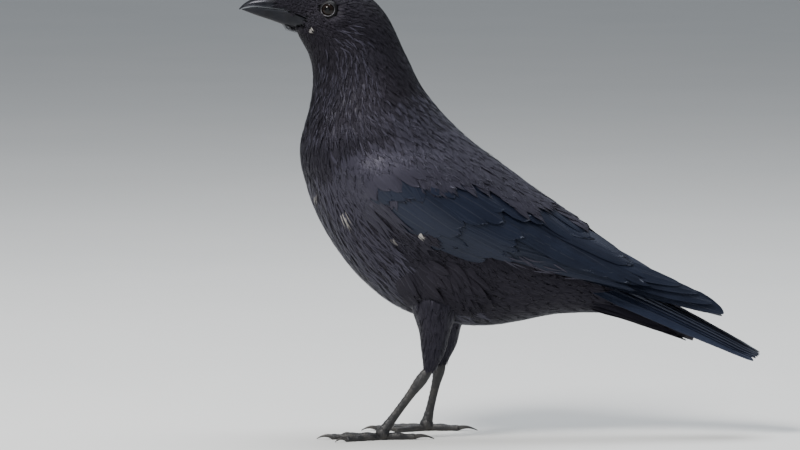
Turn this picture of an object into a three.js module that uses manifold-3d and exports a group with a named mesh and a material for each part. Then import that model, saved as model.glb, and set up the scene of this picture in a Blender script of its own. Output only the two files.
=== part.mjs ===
// A carrion crow standing alert on both feet, life size, as a still museum model.
// Millimetres, +Z up. The bird faces -X, its left side is towards -Y, and the floor is z = 0.
// Each part a person would name is one closed solid, kept a hair's breadth (GAP) from its neighbours.
import * as THREE from "three";
import Module from "manifold-3d";

const wasm = await Module();
wasm.setup();

// ---------------------------------------------------------------- driving dimensions
const GAP = 0.3; // clearance between neighbouring solids
const CUT_SHARE = 0.5; // a thin cut takes half its width from each side
const FINENESS = 0.1; // detail smaller than this is dropped from the solids
const SIDES = [
  ["left", -1],
  ["right", 1],
];

// The trunk, neck and head are one lofted form. Each station is a section plane set by its point on
// the back line and its point on the front (throat and belly) line, [x, z], and by its half width.
// egg > 0 makes the section wider towards the back line, egg < 0 towards the front line.
const STATIONS = [
  { name: "bill base", back: [-170.5, 340.8], front: [-156.5, 313.2], half: 9.6, egg: -0.06 },
  { name: "lores", back: [-153.6, 345.2], front: [-151.8, 304.8], half: 14.6, egg: -0.08 },
  { name: "eye", back: [-134.4, 348.6], front: [-146.6, 294.8], half: 19.4, egg: -0.05 },
  { name: "hindcrown", back: [-112.8, 346.2], front: [-143.8, 283.8], half: 21.8, egg: -0.02 },
  { name: "nape", back: [-89.2, 327.3], front: [-143.2, 270.8], half: 24.0, egg: 0 },
  { name: "neck", back: [-72.4, 294.1], front: [-145.0, 256.0], half: 29.0, egg: 0 },
  { name: "neck base", back: [-58.2, 266.6], front: [-149.2, 240.2], half: 36.0, egg: 0 },
  { name: "shoulder", back: [-35.0, 239.2], front: [-153.0, 222.6], half: 42.5, egg: 0 },
  { name: "breast", back: [-10.0, 215.5], front: [-150.0, 200.0], half: 45.5, egg: 0.02 },
  { name: "back", back: [11.0, 194.0], front: [-136.0, 163.5], half: 46.0, egg: 0.02 },
  { name: "belly", back: [31.0, 175.5], front: [-108.0, 124.0], half: 43.0, egg: 0 },
  { name: "hip", back: [47.5, 161.5], front: [-70.0, 96.5], half: 37.0, egg: 0 },
  { name: "vent", back: [63.0, 148.5], front: [-14.0, 85.5], half: 27.5, egg: 0 },
  { name: "tail coverts", back: [77.5, 136.5], front: [46.0, 94.5], half: 18.5, egg: 0 },
  { name: "tail root", back: [90.0, 126.0], front: [88.0, 94.0], half: 13.0, egg: 0 },
];
const HEAD_END = 3.75; // the cut between head and neck, in stations
const NECK_END = 6.7; // the cut between neck and trunk
const BODY_SIDES = 20; // facets round the loft
const RINGS_PER_STATION = 2;

// The bill's stations run from inside the face to the tip: the ridge line (culmen above, gonys below)
// and the mouth line, [x, z], with the half width at the mouth line.
const BILL_UPPER = [
  { ridge: [-156.0, 340.4], mouth: [-152.5, 325.6], half: 8.2 },
  { ridge: [-170.0, 340.2], mouth: [-165.0, 329.0], half: 7.8 },
  { ridge: [-180.0, 339.4], mouth: [-178.0, 330.8], half: 6.7 },
  { ridge: [-189.5, 337.2], mouth: [-188.5, 331.7], half: 5.0 },
  { ridge: [-196.2, 333.6], mouth: [-195.8, 330.9], half: 2.9 },
  { ridge: [-200.4, 329.3], mouth: [-199.6, 328.9], half: 0.9 },
];
const BILL_LOWER = [
  { ridge: [-154.0, 314.0], mouth: [-151.5, 325.0], half: 7.9 },
  { ridge: [-164.0, 316.6], mouth: [-164.4, 328.4], half: 7.5 },
  { ridge: [-175.0, 320.6], mouth: [-177.5, 330.2], half: 6.2 },
  { ridge: [-185.0, 324.0], mouth: [-188.0, 331.1], half: 4.4 },
  { ridge: [-193.0, 327.0], mouth: [-195.0, 330.2], half: 2.4 },
  { ridge: [-198.0, 329.0], mouth: [-198.2, 329.6], half: 0.8 },
];
const BILL_SIDES = 14;

const EYE_CENTRE = [-131.1, 15.8, 329.6]; // y is mirrored for the left eye
const EYE_RADIUS = 6.1;

// The folded wing's arm, under its coverts: a shield over the flank from shoulder to rump. Each
// station gives its top and bottom edge, [x, y, z] with y outwards, and how far the middle bulges.
const ARM = [
  { top: [-121, 33, 222], bottom: [-118, 36, 205], bulge: 2.5, thick: 4 },
  { top: [-88, 24, 243], bottom: [-101, 42, 177], bulge: 16, thick: 15 },
  { top: [-47, 18, 241], bottom: [-70, 46, 158], bulge: 20, thick: 17 },
  { top: [-8, 12, 217], bottom: [-35, 46, 146], bulge: 20, thick: 17 },
  { top: [27, 9, 192.5], bottom: [2, 42, 138], bulge: 15, thick: 12 },
  { top: [56, 9, 175], bottom: [30, 37, 134], bulge: 8, thick: 4 },
];
// The secondaries and tertials: the long panel that runs out from under the arm's coverts.
const PANEL = [
  { top: [38, 8, 183.5], bottom: [14, 36.5, 138], bulge: 7, thick: 2.6 },
  { top: [58, 8, 171.5], bottom: [40, 34, 132.5], bulge: 6, thick: 2.6 },
  { top: [80, 8, 157.5], bottom: [70, 31, 126], bulge: 5, thick: 2.2 },
  { top: [105, 9, 141.5], bottom: [98, 26.5, 118], bulge: 3, thick: 1.8 },
  { top: [126, 12, 126], bottom: [122, 21, 115], bulge: 1, thick: 1.2 },
];
const WING_ACROSS = 5; // facets from the top edge to the bottom edge
const WING_RINGS = 2; // rings per station
const RIGHT_DROOP = 7; // the right wing's tip hangs this much lower than the left's
const DROOP_FROM = 20; // x where the droop begins
const DROOP_TO = 172;
const BACK_PARTING = 1.2; // each wing stops this far from the middle of the back

// Primaries that reach past the panel, from the innermost (upper, shorter) to the outermost.
const PRIMARIES = [
  { root: [30, 23.5, 152], tip: [139, 16, 118.5], width: 15 },
  { root: [30, 23.5, 148.5], tip: [152, 16, 110.5], width: 15 },
  { root: [30, 23.5, 145], tip: [164, 16, 104], width: 15 },
  { root: [30, 23.5, 141.5], tip: [172, 15.5, 97], width: 15 },
  { root: [30, 23.5, 138], tip: [161, 15, 97.5], width: 13 },
];
const PRIMARY_STEP = 1.3; // each outer primary lies this much further in
// Radians that the primaries lean from upright towards the back. The right tips lie on the tail.
const PRIMARY_LEAN = { left: { root: 0.55, tip: 0.45 }, right: { root: 0.75, tip: 1.2 } };
const PRIMARY_SAG = 0.5;

const TAIL_FEATHERS = 6; // on each side, of twelve
const TAIL_ROOT = [58, 2.5, 137]; // of the middle pair, inside the rump
const TAIL_TIP = [200.6, 5, 64.5];
const TAIL_STACK = 1.46; // each outer feather lies this much below the last
// Sideways step from one feather to the next, and how far each side slopes down, at root and tip.
const TAIL_STEP = { root: 4.4, tip: 4.4 };
const TAIL_ROOF = { root: 0.95, tip: 0.12 };
const TAIL_ROUNDING = 0.0045; // feathers are shorter by this share times the square of their place
const TAIL_WIDTH = 17;
const TAIL_SAG = -2;

// The wedge of soft feathers under the tail.
const UNDERTAIL = [
  { x: 40, low: 96, high: 126, half: 14 },
  { x: 84, low: 92, high: 112, half: 12 },
  { x: 116, low: 83, high: 97, half: 9.5 },
  { x: 146, low: 72.5, high: 80, half: 5.5 },
];

const QUILL_EDGE = 0.28; // half thickness of a flight feather at its edges
const QUILL_RIDGE = 0.42; // and at its shaft

// Legs. The feathered shank narrows to the ankle, the bare tarsus slopes forward to the toes.
const LEGS = {
  left: { ankle: [-53, -26, 56], foot: [-90, -30, 6] },
  right: { ankle: [-44, 26, 58], foot: [-56, 30, 6] },
};
const SHANK = [
  { z: 118, dx: 4, dy: -8, rx: 24, ry: 15 },
  { z: 98, dx: 3.5, dy: -4, rx: 17, ry: 13.5 },
  { z: 82, dx: 3, dy: -2, rx: 11.5, ry: 10.5 },
  { z: 68, dx: 2, dy: 0, rx: 9, ry: 8 },
  { z: 57, dx: 0, dy: 0, rx: 5.6, ry: 5.2 },
];
// Along the tarsus from the ankle: half depth fore and aft, and half width.
const TARSUS = [
  { depth: 3.2, width: 3.0 },
  { depth: 4.3, width: 3.6 },
  { depth: 3.3, width: 2.5 },
  { depth: 3.0, width: 2.3 },
  { depth: 3.2, width: 2.6 },
  { depth: 4.2, width: 3.9 },
];
const HUB_RADIUS = 5.4; // the joint where the toes meet
const FOOT_SINK = 0.6; // pads are pressed flat by this much at the floor
// Toes by number, with the hind toe first: heading from straight ahead, towards the other foot if
// positive, with length, root radius, joints and claw length.
const TOES = [
  { heading: 176, length: 22, radius: 3.4, joints: 2, claw: 15 },
  { heading: 30, length: 25, radius: 3.1, joints: 2, claw: 11 },
  { heading: 3, length: 36, radius: 3.3, joints: 3, claw: 12 },
  { heading: -27, length: 28, radius: 3.0, joints: 3, claw: 10 },
];
const DIGIT_SIDES = 6;
const TOE_TAPER = 0.72;
const JOINT_SWELL = 0.12;
const CLAW_RISE = 1.6;
const CLAW_POINT = 0.45;

const plumage = new THREE.MeshStandardMaterial({ color: 0x14151c, roughness: 0.5, metalness: 0 });
const flight = new THREE.MeshStandardMaterial({ color: 0x151a2b, roughness: 0.38, metalness: 0 });
const horn = new THREE.MeshStandardMaterial({ color: 0x1d1e24, roughness: 0.32, metalness: 0 });
const scale = new THREE.MeshStandardMaterial({ color: 0x17171a, roughness: 0.45, metalness: 0 });
const eyeGlass = new THREE.MeshStandardMaterial({ color: 0x120c09, roughness: 0.06, metalness: 0 });

// ---------------------------------------------------------------- helpers
const { PI, abs, cos, floor, hypot, max, min, sign, sin, sqrt } = Math;
const lerp = THREE.MathUtils.lerp;

/** Catmull-Rom through the rows of numbers, at t in 0..rows.length - 1. */
function spline(rows, t) {
  const last = rows.length - 1;
  const k = min(last - 1, max(0, floor(t)));
  const f = t - k;
  const [a, b, c, d] = [k - 1, k, k + 1, k + 2].map((i) => rows[min(last, max(0, i))]);
  return b.map((value, i) => {
    const slopeIn = (c[i] - a[i]) / 2;
    const slopeOut = (d[i] - value) / 2;
    const rise = c[i] - value;
    const square = 3 * rise - 2 * slopeIn - slopeOut;
    const cube = slopeIn + slopeOut - 2 * rise;
    return value + f * (slopeIn + f * (square + f * cube));
  });
}

/**
 * A closed solid from rings of points: sides between rings, and a ladder across each end. Each side
 * is split along its shorter diagonal, so that the two faces of a thin twisted blade stay parallel.
 * ringsAt(grow) gives the rings, grown outwards. A solid grown to cut a gap is split as the plain
 * one is, and reaches past its own ends by grow.
 */
function loft(ringsAt, grow = 0) {
  const rings = ringsAt(grow);
  const plain = ringsAt(0).flat();
  const past = (end, next) =>
    end.map((p, i) => p.clone().addScaledVector(p.clone().sub(next[i]).normalize(), grow));
  const ends = { 0: rings[1], [rings.length - 1]: rings.at(-2) };
  const count = rings[0].length;
  const points = rings.flatMap((ring, r) => (ends[r] ? past(ring, ends[r]) : ring));
  const triangles = [];
  rings.slice(1).forEach((_, r) => {
    for (let i = 0; i < count; i++) {
      const [a, b] = [r * count + i, r * count + ((i + 1) % count)];
      const [c, d] = [a + count, b + count];
      const shorter = plain[b].distanceTo(plain[c]) < plain[a].distanceTo(plain[d]);
      triangles.push(...(shorter ? [a, c, b, b, c, d] : [a, c, d, a, d, b]));
    }
  });
  const corner = (ring, ...places) => places.map((i) => ring * count + i);
  for (let [i, j] = [0, count - 1]; i + 1 < j; i++, j--) {
    triangles.push(...corner(0, i, i + 1, j), ...corner(rings.length - 1, i + 1, i, j));
    if (i + 2 === j) break;
    triangles.push(...corner(0, i + 1, j - 1, j), ...corner(rings.length - 1, j - 1, i + 1, j));
  }
  const geometry = new THREE.BufferGeometry().setFromPoints(points);
  geometry.setIndex(triangles);
  return solidOf(geometry);
}

/** A closed indexed geometry as a manifold-3d solid whose faces point out. */
function solidOf(geometry) {
  const vertProperties = new Float32Array(geometry.getAttribute("position").array);
  const triVerts = new Uint32Array(geometry.index.array);
  const made = new wasm.Manifold(new wasm.Mesh({ numProp: 3, vertProperties, triVerts }));
  if (made.volume() > 0) return made;
  for (let i = 0; i < triVerts.length; i += 3) {
    [triVerts[i], triVerts[i + 1]] = [triVerts[i + 1], triVerts[i]];
  }
  return new wasm.Manifold(new wasm.Mesh({ numProp: 3, vertProperties, triVerts }));
}

/** A ball, with a small flat at each pole. */
function ball(centre, radius, sides = 12) {
  const bands = sides / 2;
  const rings = Array.from({ length: bands }, (_, r) => {
    const down = ((r + 0.5) / bands) * PI;
    return Array.from({ length: sides }, (_, i) => {
      const turn = (i / sides) * 2 * PI;
      const out = radius * sin(down);
      const at = new THREE.Vector3(out * cos(turn), out * sin(turn), radius * cos(down));
      return at.add(new THREE.Vector3(...centre));
    });
  });
  return loft(() => rings);
}

/** The largest of the pieces a solid falls into. */
const largest = (solid) => solid.decompose().sort((a, b) => b.volume() - a.volume())[0];

/** What is left of a solid after its neighbours are cut away. */
const cutBy = (solid, neighbours) =>
  largest(neighbours.reduce((rest, cutter) => rest.subtract(cutter), solid));

const group = new THREE.Group();

/** Adds a solid to the model as a named mesh, without the slivers that cutting leaves. */
function add(name, solid, material) {
  const { vertProperties, triVerts } = largest(solid.simplify(FINENESS)).getMesh();
  const geometry = new THREE.BufferGeometry();
  geometry.setAttribute("position", new THREE.BufferAttribute(new Float32Array(vertProperties), 3));
  geometry.setIndex(new THREE.BufferAttribute(new Uint32Array(triVerts), 1));
  geometry.computeVertexNormals();
  const mesh = new THREE.Mesh(geometry, material);
  mesh.name = name;
  group.add(mesh);
}

// ---------------------------------------------------------------- trunk, neck and head
const bodyRows = STATIONS.map((s) => [...s.back, ...s.front, s.half, s.egg]);
const FULLNESS = 0.92; // under 1 fills the section out a little past an ellipse

/** The body's surface at a station and an angle from the back line, grown outwards by grow. */
function bodyPoint(t, angle, grow) {
  const [backX, backZ, frontX, frontZ, half, egg] = spline(bodyRows, t);
  const [axisX, axisZ] = [(backX - frontX) / 2, (backZ - frontZ) / 2];
  const reach = hypot(axisX, axisZ);
  const along = cos(angle) * (1 + grow / reach);
  const across = sign(sin(angle)) * abs(sin(angle)) ** FULLNESS * (half + grow);
  const y = across * (1 + egg * cos(angle));
  return new THREE.Vector3((backX + frontX) / 2 + axisX * along, y, (backZ + frontZ) / 2 + axisZ * along);
}

/** A length of the body between two stations. */
function bodyLength(from, to, grow = 0) {
  const count = max(2, Math.round((to - from) * RINGS_PER_STATION));
  const ringsAt = (out) =>
    Array.from({ length: count + 1 }, (_, r) =>
      Array.from({ length: BODY_SIDES }, (_, i) =>
        bodyPoint(lerp(from, to, r / count), (i / BODY_SIDES) * 2 * PI, out),
      ),
    );
  return loft(ringsAt, grow);
}

/** How many stations wide a thin cut is, so that it is GAP wide where the stations are closest. */
function cutWidth(t) {
  const step = 0.01;
  const closest = bodyPoint(t, PI, 0).distanceTo(bodyPoint(t + step, PI, 0));
  return (CUT_SHARE * GAP * step) / closest;
}

const tailEnd = STATIONS.length - 1;
const trunkGrown = bodyLength(NECK_END, tailEnd, GAP);

// ---------------------------------------------------------------- bill and eyes
/** One half of the bill: a ridge rounded over a flat mouth side. */
function billHalf(stations, grow = 0) {
  const rows = stations.map((s) => [...s.ridge, ...s.mouth, s.half]);
  const count = (rows.length - 1) * 2;
  const arch = BILL_SIDES / 2;
  const ringAt = (t, out) => {
    const [ridgeX, ridgeZ, mouthX, mouthZ, half] = spline(rows, t);
    const up = new THREE.Vector2(ridgeX - mouthX, ridgeZ - mouthZ);
    const lift = (up.length() + out) / up.length();
    const point = (height, y) => new THREE.Vector3(mouthX + up.x * height, y, mouthZ + up.y * height);
    const sunk = -out / up.length();
    const ring = [];
    for (let i = 0; i <= arch; i++) {
      const angle = (i / arch) * PI;
      const height = sin(angle) ** 1.15 * (lift - sunk) + sunk;
      ring.push(point(height, cos(angle) * (half + out)));
    }
    ring.push(point(sunk, 0));
    return ring;
  };
  const places = Array.from({ length: count + 1 }, (_, r) => (r / count) * (rows.length - 1));
  return loft((out) => places.map((t) => ringAt(t, out)), grow);
}

const mouthGap = new THREE.Vector3(0, 0, -GAP);
const billUpper = billHalf(BILL_UPPER);
const billLower = cutBy(billHalf(BILL_LOWER).translate(mouthGap.toArray()), [billHalf(BILL_UPPER, GAP)]);
const billCutters = [billHalf(BILL_UPPER, GAP), billHalf(BILL_LOWER, GAP).translate(mouthGap.toArray())];
add("bill_upper", billUpper, horn);
add("bill_lower", billLower, horn);

const eyeAt = (side) => [EYE_CENTRE[0], side * EYE_CENTRE[1], EYE_CENTRE[2]];
for (const [word, side] of SIDES) add(`eye_${word}`, ball(eyeAt(side), EYE_RADIUS), eyeGlass);
const eyeSockets = SIDES.map(([, side]) => ball(eyeAt(side), EYE_RADIUS + GAP));

const headCut = cutWidth(HEAD_END);
const neckCut = cutWidth(NECK_END);
add("head", cutBy(bodyLength(0, HEAD_END - headCut), [...eyeSockets, ...billCutters]), plumage);
add("neck", bodyLength(HEAD_END + headCut, NECK_END - neckCut), plumage);
const neckGrown = bodyLength(HEAD_END, NECK_END, GAP);

// ---------------------------------------------------------------- legs, shanks first
/** The feathered shank of one leg, whose axis leans from the ankle up into the body. */
function shank(leg, side, grow = 0) {
  const ringsAt = (out) =>
    SHANK.map(({ z, dx, dy, rx, ry }) =>
      Array.from({ length: 14 }, (_, i) => {
        const angle = (i / 14) * 2 * PI;
        const x = leg.ankle[0] + dx + cos(angle) * (rx + out);
        const y = leg.ankle[1] + side * dy + sin(angle) * (ry + out);
        return new THREE.Vector3(x, y, z);
      }),
    );
  return loft(ringsAt, grow);
}

/** The bare tarsus from the ankle to the toes' joint, with the joint's rounded hub. */
function tarsus(leg, grow = 0) {
  const ankle = new THREE.Vector3(...leg.ankle);
  const foot = new THREE.Vector3(...leg.foot);
  const along = foot.clone().sub(ankle).normalize();
  const across = new THREE.Vector3(0, 1, 0);
  const fore = new THREE.Vector3().crossVectors(across, along);
  const top = ankle.clone().addScaledVector(along, 1);
  const ringsAt = (out) =>
    TARSUS.map(({ depth, width }, r) => {
      const centre = top.clone().lerp(foot, r / (TARSUS.length - 1));
      return Array.from({ length: 8 }, (_, i) => {
        const angle = (i / 8) * 2 * PI;
        return centre
          .clone()
          .addScaledVector(fore, cos(angle) * (depth + out))
          .addScaledVector(across, sin(angle) * (width + out));
      });
    });
  const hub = ball([leg.foot[0], leg.foot[1], HUB_RADIUS - FOOT_SINK], HUB_RADIUS + grow);
  return loft(ringsAt, grow).add(hub);
}

/** Keeps what is above the floor, so that a pad has a small flat. */
const onFloor = (solid) => solid.trimByPlane([0, 0, 1], 0);

/** A toe or its claw: a tapering tube along a gently bent line in the vertical plane of its heading. */
function digit(start, heading, length, radiusAt, heightAt, steps) {
  const direction = new THREE.Vector3(-cos(heading), sin(heading), 0);
  const across = new THREE.Vector3(-direction.y, direction.x, 0);
  const rings = Array.from({ length: steps + 1 }, (_, r) => {
    const f = r / steps;
    const centre = start.clone().addScaledVector(direction, f * length);
    centre.z = heightAt(f);
    return Array.from({ length: DIGIT_SIDES }, (_, i) => {
      const angle = (i / DIGIT_SIDES) * 2 * PI;
      const out = radiusAt(f);
      return centre
        .clone()
        .addScaledVector(across, cos(angle) * out)
        .add(new THREE.Vector3(0, 0, sin(angle) * out));
    });
  });
  return onFloor(loft(() => rings));
}

/** Toes and claws of one foot. Each toe is cut back from the ones already made where they meet. */
function toesOf(word, side) {
  const leg = LEGS[word];
  const madeGrown = [tarsus(leg, GAP)];
  TOES.forEach(({ heading, length, radius, joints, claw }, n) => {
    const turn = THREE.MathUtils.degToRad(heading) * -side;
    const start = new THREE.Vector3(leg.foot[0], leg.foot[1], 0);
    const thin = (f) => radius * lerp(1, TOE_TAPER, f);
    const swell = (f) => thin(f) * (1 + JOINT_SWELL * cos(f * joints * 2 * PI));
    const reach = length + HUB_RADIUS * 0.5;
    const toe = (grow) =>
      digit(start, turn, reach, (f) => swell(f) + grow, (f) => thin(f) - FOOT_SINK, joints * 2);
    add(`toe_${word}_${n + 1}`, cutBy(toe(0), madeGrown), scale);
    madeGrown.push(toe(GAP));

    const tip = start.clone().addScaledVector(new THREE.Vector3(-cos(turn), sin(turn), 0), reach + GAP);
    const root = thin(1) * 0.82;
    const taper = (f) => lerp(root, CLAW_POINT, f ** 0.8);
    const arch = (f) => lerp(root, CLAW_POINT, f) + CLAW_RISE * sin(f * PI);
    add(`claw_${word}_${n + 1}`, digit(tip, turn, claw, taper, arch, 5), horn);
  });
}

for (const [word, side] of SIDES) {
  const leg = LEGS[word];
  add(`shank_${word}`, cutBy(shank(leg, side), [trunkGrown]), plumage);
  add(`tarsus_${word}`, cutBy(onFloor(tarsus(leg)), [shank(leg, side, GAP)]), scale);
  toesOf(word, side);
}

// ---------------------------------------------------------------- flight feathers
/**
 * A flight feather as a thin blade: it widens from the quill, runs parallel, and rounds off at the
 * tip. rootAcross and tipAcross are the directions of its vanes at the two ends, and sag is how far
 * its middle hangs below the chord.
 */
function blade({ root, tip, rootAcross, tipAcross, width, sag, grow = 0 }) {
  const [from, to] = [new THREE.Vector3(...root), new THREE.Vector3(...tip)];
  const along = to.clone().sub(from).normalize();
  const down = new THREE.Vector3(0, 0, -1);
  const middle = from.clone().lerp(to, 0.5).addScaledVector(down, 2 * sag);
  const curve = new THREE.QuadraticBezierCurve3(from, middle, to);
  const [open, round, steps] = [0.25, 0.86, 8];
  const ringAt = (f, grown) => {
    const across = rootAcross.clone().lerp(tipAcross, f);
    const normal = new THREE.Vector3().crossVectors(across, along).normalize();
    const side = new THREE.Vector3().crossVectors(along, normal);
    const widening = min(1, lerp(0.4, 1, f / open));
    const rounding = sqrt(max(0, 1 - (max(0, f - round) / (1 - round)) ** 2));
    const out = max(0.9, (width / 2) * widening * rounding) + grown;
    const centre = curve.getPoint(f);
    const corners = [
      [1, QUILL_EDGE],
      [0, QUILL_RIDGE],
      [-1, QUILL_EDGE],
      [-1, -QUILL_EDGE],
      [0, -QUILL_RIDGE],
      [1, -QUILL_EDGE],
    ];
    return corners.map(([s, n]) =>
      centre
        .clone()
        .addScaledVector(side, s * out)
        .addScaledVector(normal, n + sign(n) * grown),
    );
  };
  // Rings crowd towards the rounded tip.
  const places = Array.from({ length: steps + 1 }, (_, r) => 1 - (1 - r / steps) ** 1.6);
  return loft((grown) => places.map((f) => ringAt(f, grown)), grow);
}

/**
 * The tail feathers of one side, the middle pair on top. Each outer one is a step down the roof's
 * slope and a thickness below it, so the feathers fan out from a steep stack at the rump.
 */
function tailFeather(side, n, grow = 0) {
  const end = (point, slope, step) => [
    point[0],
    side * (point[1] + n * (step * cos(slope) - TAIL_STACK * sin(slope))),
    point[2] - n * (step * sin(slope) + TAIL_STACK * cos(slope)),
  ];
  const root = end(TAIL_ROOT, TAIL_ROOF.root, TAIL_STEP.root);
  const fullTip = end(TAIL_TIP, TAIL_ROOF.tip, TAIL_STEP.tip);
  const tip = fullTip.map((value, i) => lerp(value, root[i], TAIL_ROUNDING * n * n));
  const [rootAcross, tipAcross] = [TAIL_ROOF.root, TAIL_ROOF.tip].map(
    (slope) => new THREE.Vector3(0, side * cos(slope), -sin(slope)),
  );
  return blade({ root, tip, rootAcross, tipAcross, width: TAIL_WIDTH, sag: TAIL_SAG, grow });
}

/** How much lower a point of one wing hangs at x. */
function droop(side, x) {
  return side > 0 ? RIGHT_DROOP * THREE.MathUtils.smoothstep(x, DROOP_FROM, DROOP_TO) : 0;
}

/** The primaries of one wing that show past the secondaries. */
function primary(side, n, grow = 0) {
  const { root, tip, width } = PRIMARIES[n];
  const lean = side < 0 ? PRIMARY_LEAN.left : PRIMARY_LEAN.right;
  const place = ([x, y, z], angle) => [
    x,
    side * (y - n * PRIMARY_STEP * cos(angle)),
    z - n * PRIMARY_STEP * sin(angle) - droop(side, x),
  ];
  const across = (angle) => new THREE.Vector3(0.35, -side * sin(angle), cos(angle));
  return blade({
    root: place(root, lean.root),
    tip: place(tip, lean.tip),
    rootAcross: across(lean.root),
    tipAcross: across(lean.tip),
    width,
    sag: PRIMARY_SAG,
    grow,
  });
}

// ---------------------------------------------------------------- folded wings
/** A shell of the folded wing through its stations, bulging outwards, as thick as each one says. */
function wingShell(stations, side, grow = 0) {
  const rows = stations.map((s) => [...s.top, ...s.bottom, s.bulge, s.thick]);
  const count = (rows.length - 1) * WING_RINGS;
  const ringAt = (t, grown) => {
    const [tx, ty, tz, bx, by, bz, bulge, thick] = spline(rows, t);
    const [dx, dz] = [tx - bx, tz - bz];
    const tall = hypot(dx, dz);
    const place = (v, inward) => {
      const stretched = v + ((2 * v - 1) * grown) / tall;
      const out = lerp(ty, by, v) + bulge * 4 * v * (1 - v) + (inward ? -thick - grown : grown);
      const x = lerp(tx, bx, stretched);
      return new THREE.Vector3(x, side * out, lerp(tz, bz, stretched) - droop(side, x));
    };
    const outer = Array.from({ length: WING_ACROSS + 1 }, (_, i) => place(i / WING_ACROSS, false));
    const inner = Array.from({ length: WING_ACROSS + 1 }, (_, i) => place(1 - i / WING_ACROSS, true));
    return [...outer, ...inner];
  };
  const places = Array.from({ length: count + 1 }, (_, r) => (r / count) * (rows.length - 1));
  return loft((grown) => places.map((t) => ringAt(t, grown)), grow);
}

const undertailRows = UNDERTAIL.map((s) => [s.x, s.low, s.high, s.half]);
const undertail = loft(() =>
  Array.from({ length: 7 }, (_, r) => {
    const [x, low, high, half] = spline(undertailRows, (r / 6) * (undertailRows.length - 1));
    return Array.from({ length: 14 }, (_, i) => {
      const angle = (i / 14) * 2 * PI;
      const z = lerp(low, high, (1 + cos(angle)) / 2);
      return new THREE.Vector3(x, half * sin(angle), z);
    });
  }),
);

const tailGrown = [];
for (const [word, side] of SIDES) {
  const sideGrown = [trunkGrown];
  for (let n = 0; n < TAIL_FEATHERS; n++) {
    const half = tailFeather(side, n).trimByPlane([0, side, 0], CUT_SHARE * GAP);
    add(`tail_${word}_${n + 1}`, cutBy(half, sideGrown), flight);
    sideGrown.push(tailFeather(side, n, GAP));
  }
  tailGrown.push(...sideGrown.slice(1));
}
add("undertail", cutBy(undertail, [trunkGrown, ...tailGrown]), plumage);

for (const [word, side] of SIDES) {
  const primaryGrown = PRIMARIES.map((_, n) => primary(side, n, GAP));
  const shankGrown = shank(LEGS[word], side, GAP);
  const inside = [trunkGrown, neckGrown, shankGrown];
  PRIMARIES.forEach((_, n) => {
    const made = cutBy(primary(side, n), [...inside, ...primaryGrown.slice(n + 1), ...tailGrown]);
    add(`primary_${word}_${n + 1}`, made, flight);
  });
  const ownSide = (solid) => solid.trimByPlane([0, side, 0], BACK_PARTING);
  const panel = cutBy(ownSide(wingShell(PANEL, side)), [...inside, ...primaryGrown, ...tailGrown]);
  add(`wing_${word}_panel`, panel, flight);
  const armCutters = [...inside, ...primaryGrown, wingShell(PANEL, side, GAP)];
  add(`wing_${word}_arm`, cutBy(ownSide(wingShell(ARM, side)), armCutters), flight);
}
add("trunk", bodyLength(NECK_END + neckCut, tailEnd), plumage);

export default group;
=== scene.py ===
# %% [markdown]
# # A carrion crow, dressed over its solid frame
# The frame is a set of closed solids at life size: trunk, neck, head, bill, wings, legs and tail.
# Here they get their looks. One skin stands for all the flesh, thousands of small closed vanes lie
# on it as the coat, and the flight feathers, bill, eyes and feet are worked out again with more
# detail. Lengths below are in millimetres and become metres only when a mesh is made.

# %% Load the frame
import math
import bpy
import numpy as np
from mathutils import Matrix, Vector


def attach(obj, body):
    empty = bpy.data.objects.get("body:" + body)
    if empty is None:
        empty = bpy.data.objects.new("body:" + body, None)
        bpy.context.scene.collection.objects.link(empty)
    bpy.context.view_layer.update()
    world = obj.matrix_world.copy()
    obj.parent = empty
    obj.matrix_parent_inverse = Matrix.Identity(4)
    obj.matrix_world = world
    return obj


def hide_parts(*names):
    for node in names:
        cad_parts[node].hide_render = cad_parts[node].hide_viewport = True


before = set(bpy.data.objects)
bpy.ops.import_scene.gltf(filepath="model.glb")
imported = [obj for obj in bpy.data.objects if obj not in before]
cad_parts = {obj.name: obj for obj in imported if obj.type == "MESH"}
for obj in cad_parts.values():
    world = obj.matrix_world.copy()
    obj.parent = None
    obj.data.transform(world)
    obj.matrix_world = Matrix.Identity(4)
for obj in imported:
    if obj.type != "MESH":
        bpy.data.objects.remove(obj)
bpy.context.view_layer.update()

# %% [markdown]
# ## Camera and light
# A long lens looks at the bird a little from above and square to its left side. It keeps both legs
# nearly the same size, where a near camera would swell the breast and shrink the tail. The light
# is that of a bright day: a pale sky all round and one broad key from the upper left. Black
# plumage shows its form by its gloss alone, so a broad lamp is chosen over a small hard one.

# %% Camera
MM = 0.001
AIM = np.array([-76.6, 0.0, 162.8])
DISTANCE = 5000.0
ELEVATION = math.radians(5)
LENS = 292.2
FAR_CLIP = 100  # m


def looking(place, target, thing):
    """Turns a lamp or camera at place so that its -Z axis points at target."""
    thing.location = [c * MM for c in place]
    line = Vector(np.subtract(target, place).tolist())
    thing.rotation_mode = "QUATERNION"
    thing.rotation_quaternion = line.to_track_quat("-Z", "Y")


camera = bpy.data.objects.new("camera", bpy.data.cameras.new("camera"))
bpy.context.scene.collection.objects.link(camera)
camera.data.lens = LENS
camera.data.clip_end = FAR_CLIP
stand_off = DISTANCE * np.array([0, -math.cos(ELEVATION), math.sin(ELEVATION)])
looking(AIM + stand_off, AIM, camera)
bpy.context.scene.camera = camera
print("camera at", tuple(round(c, 3) for c in camera.location))

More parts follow.
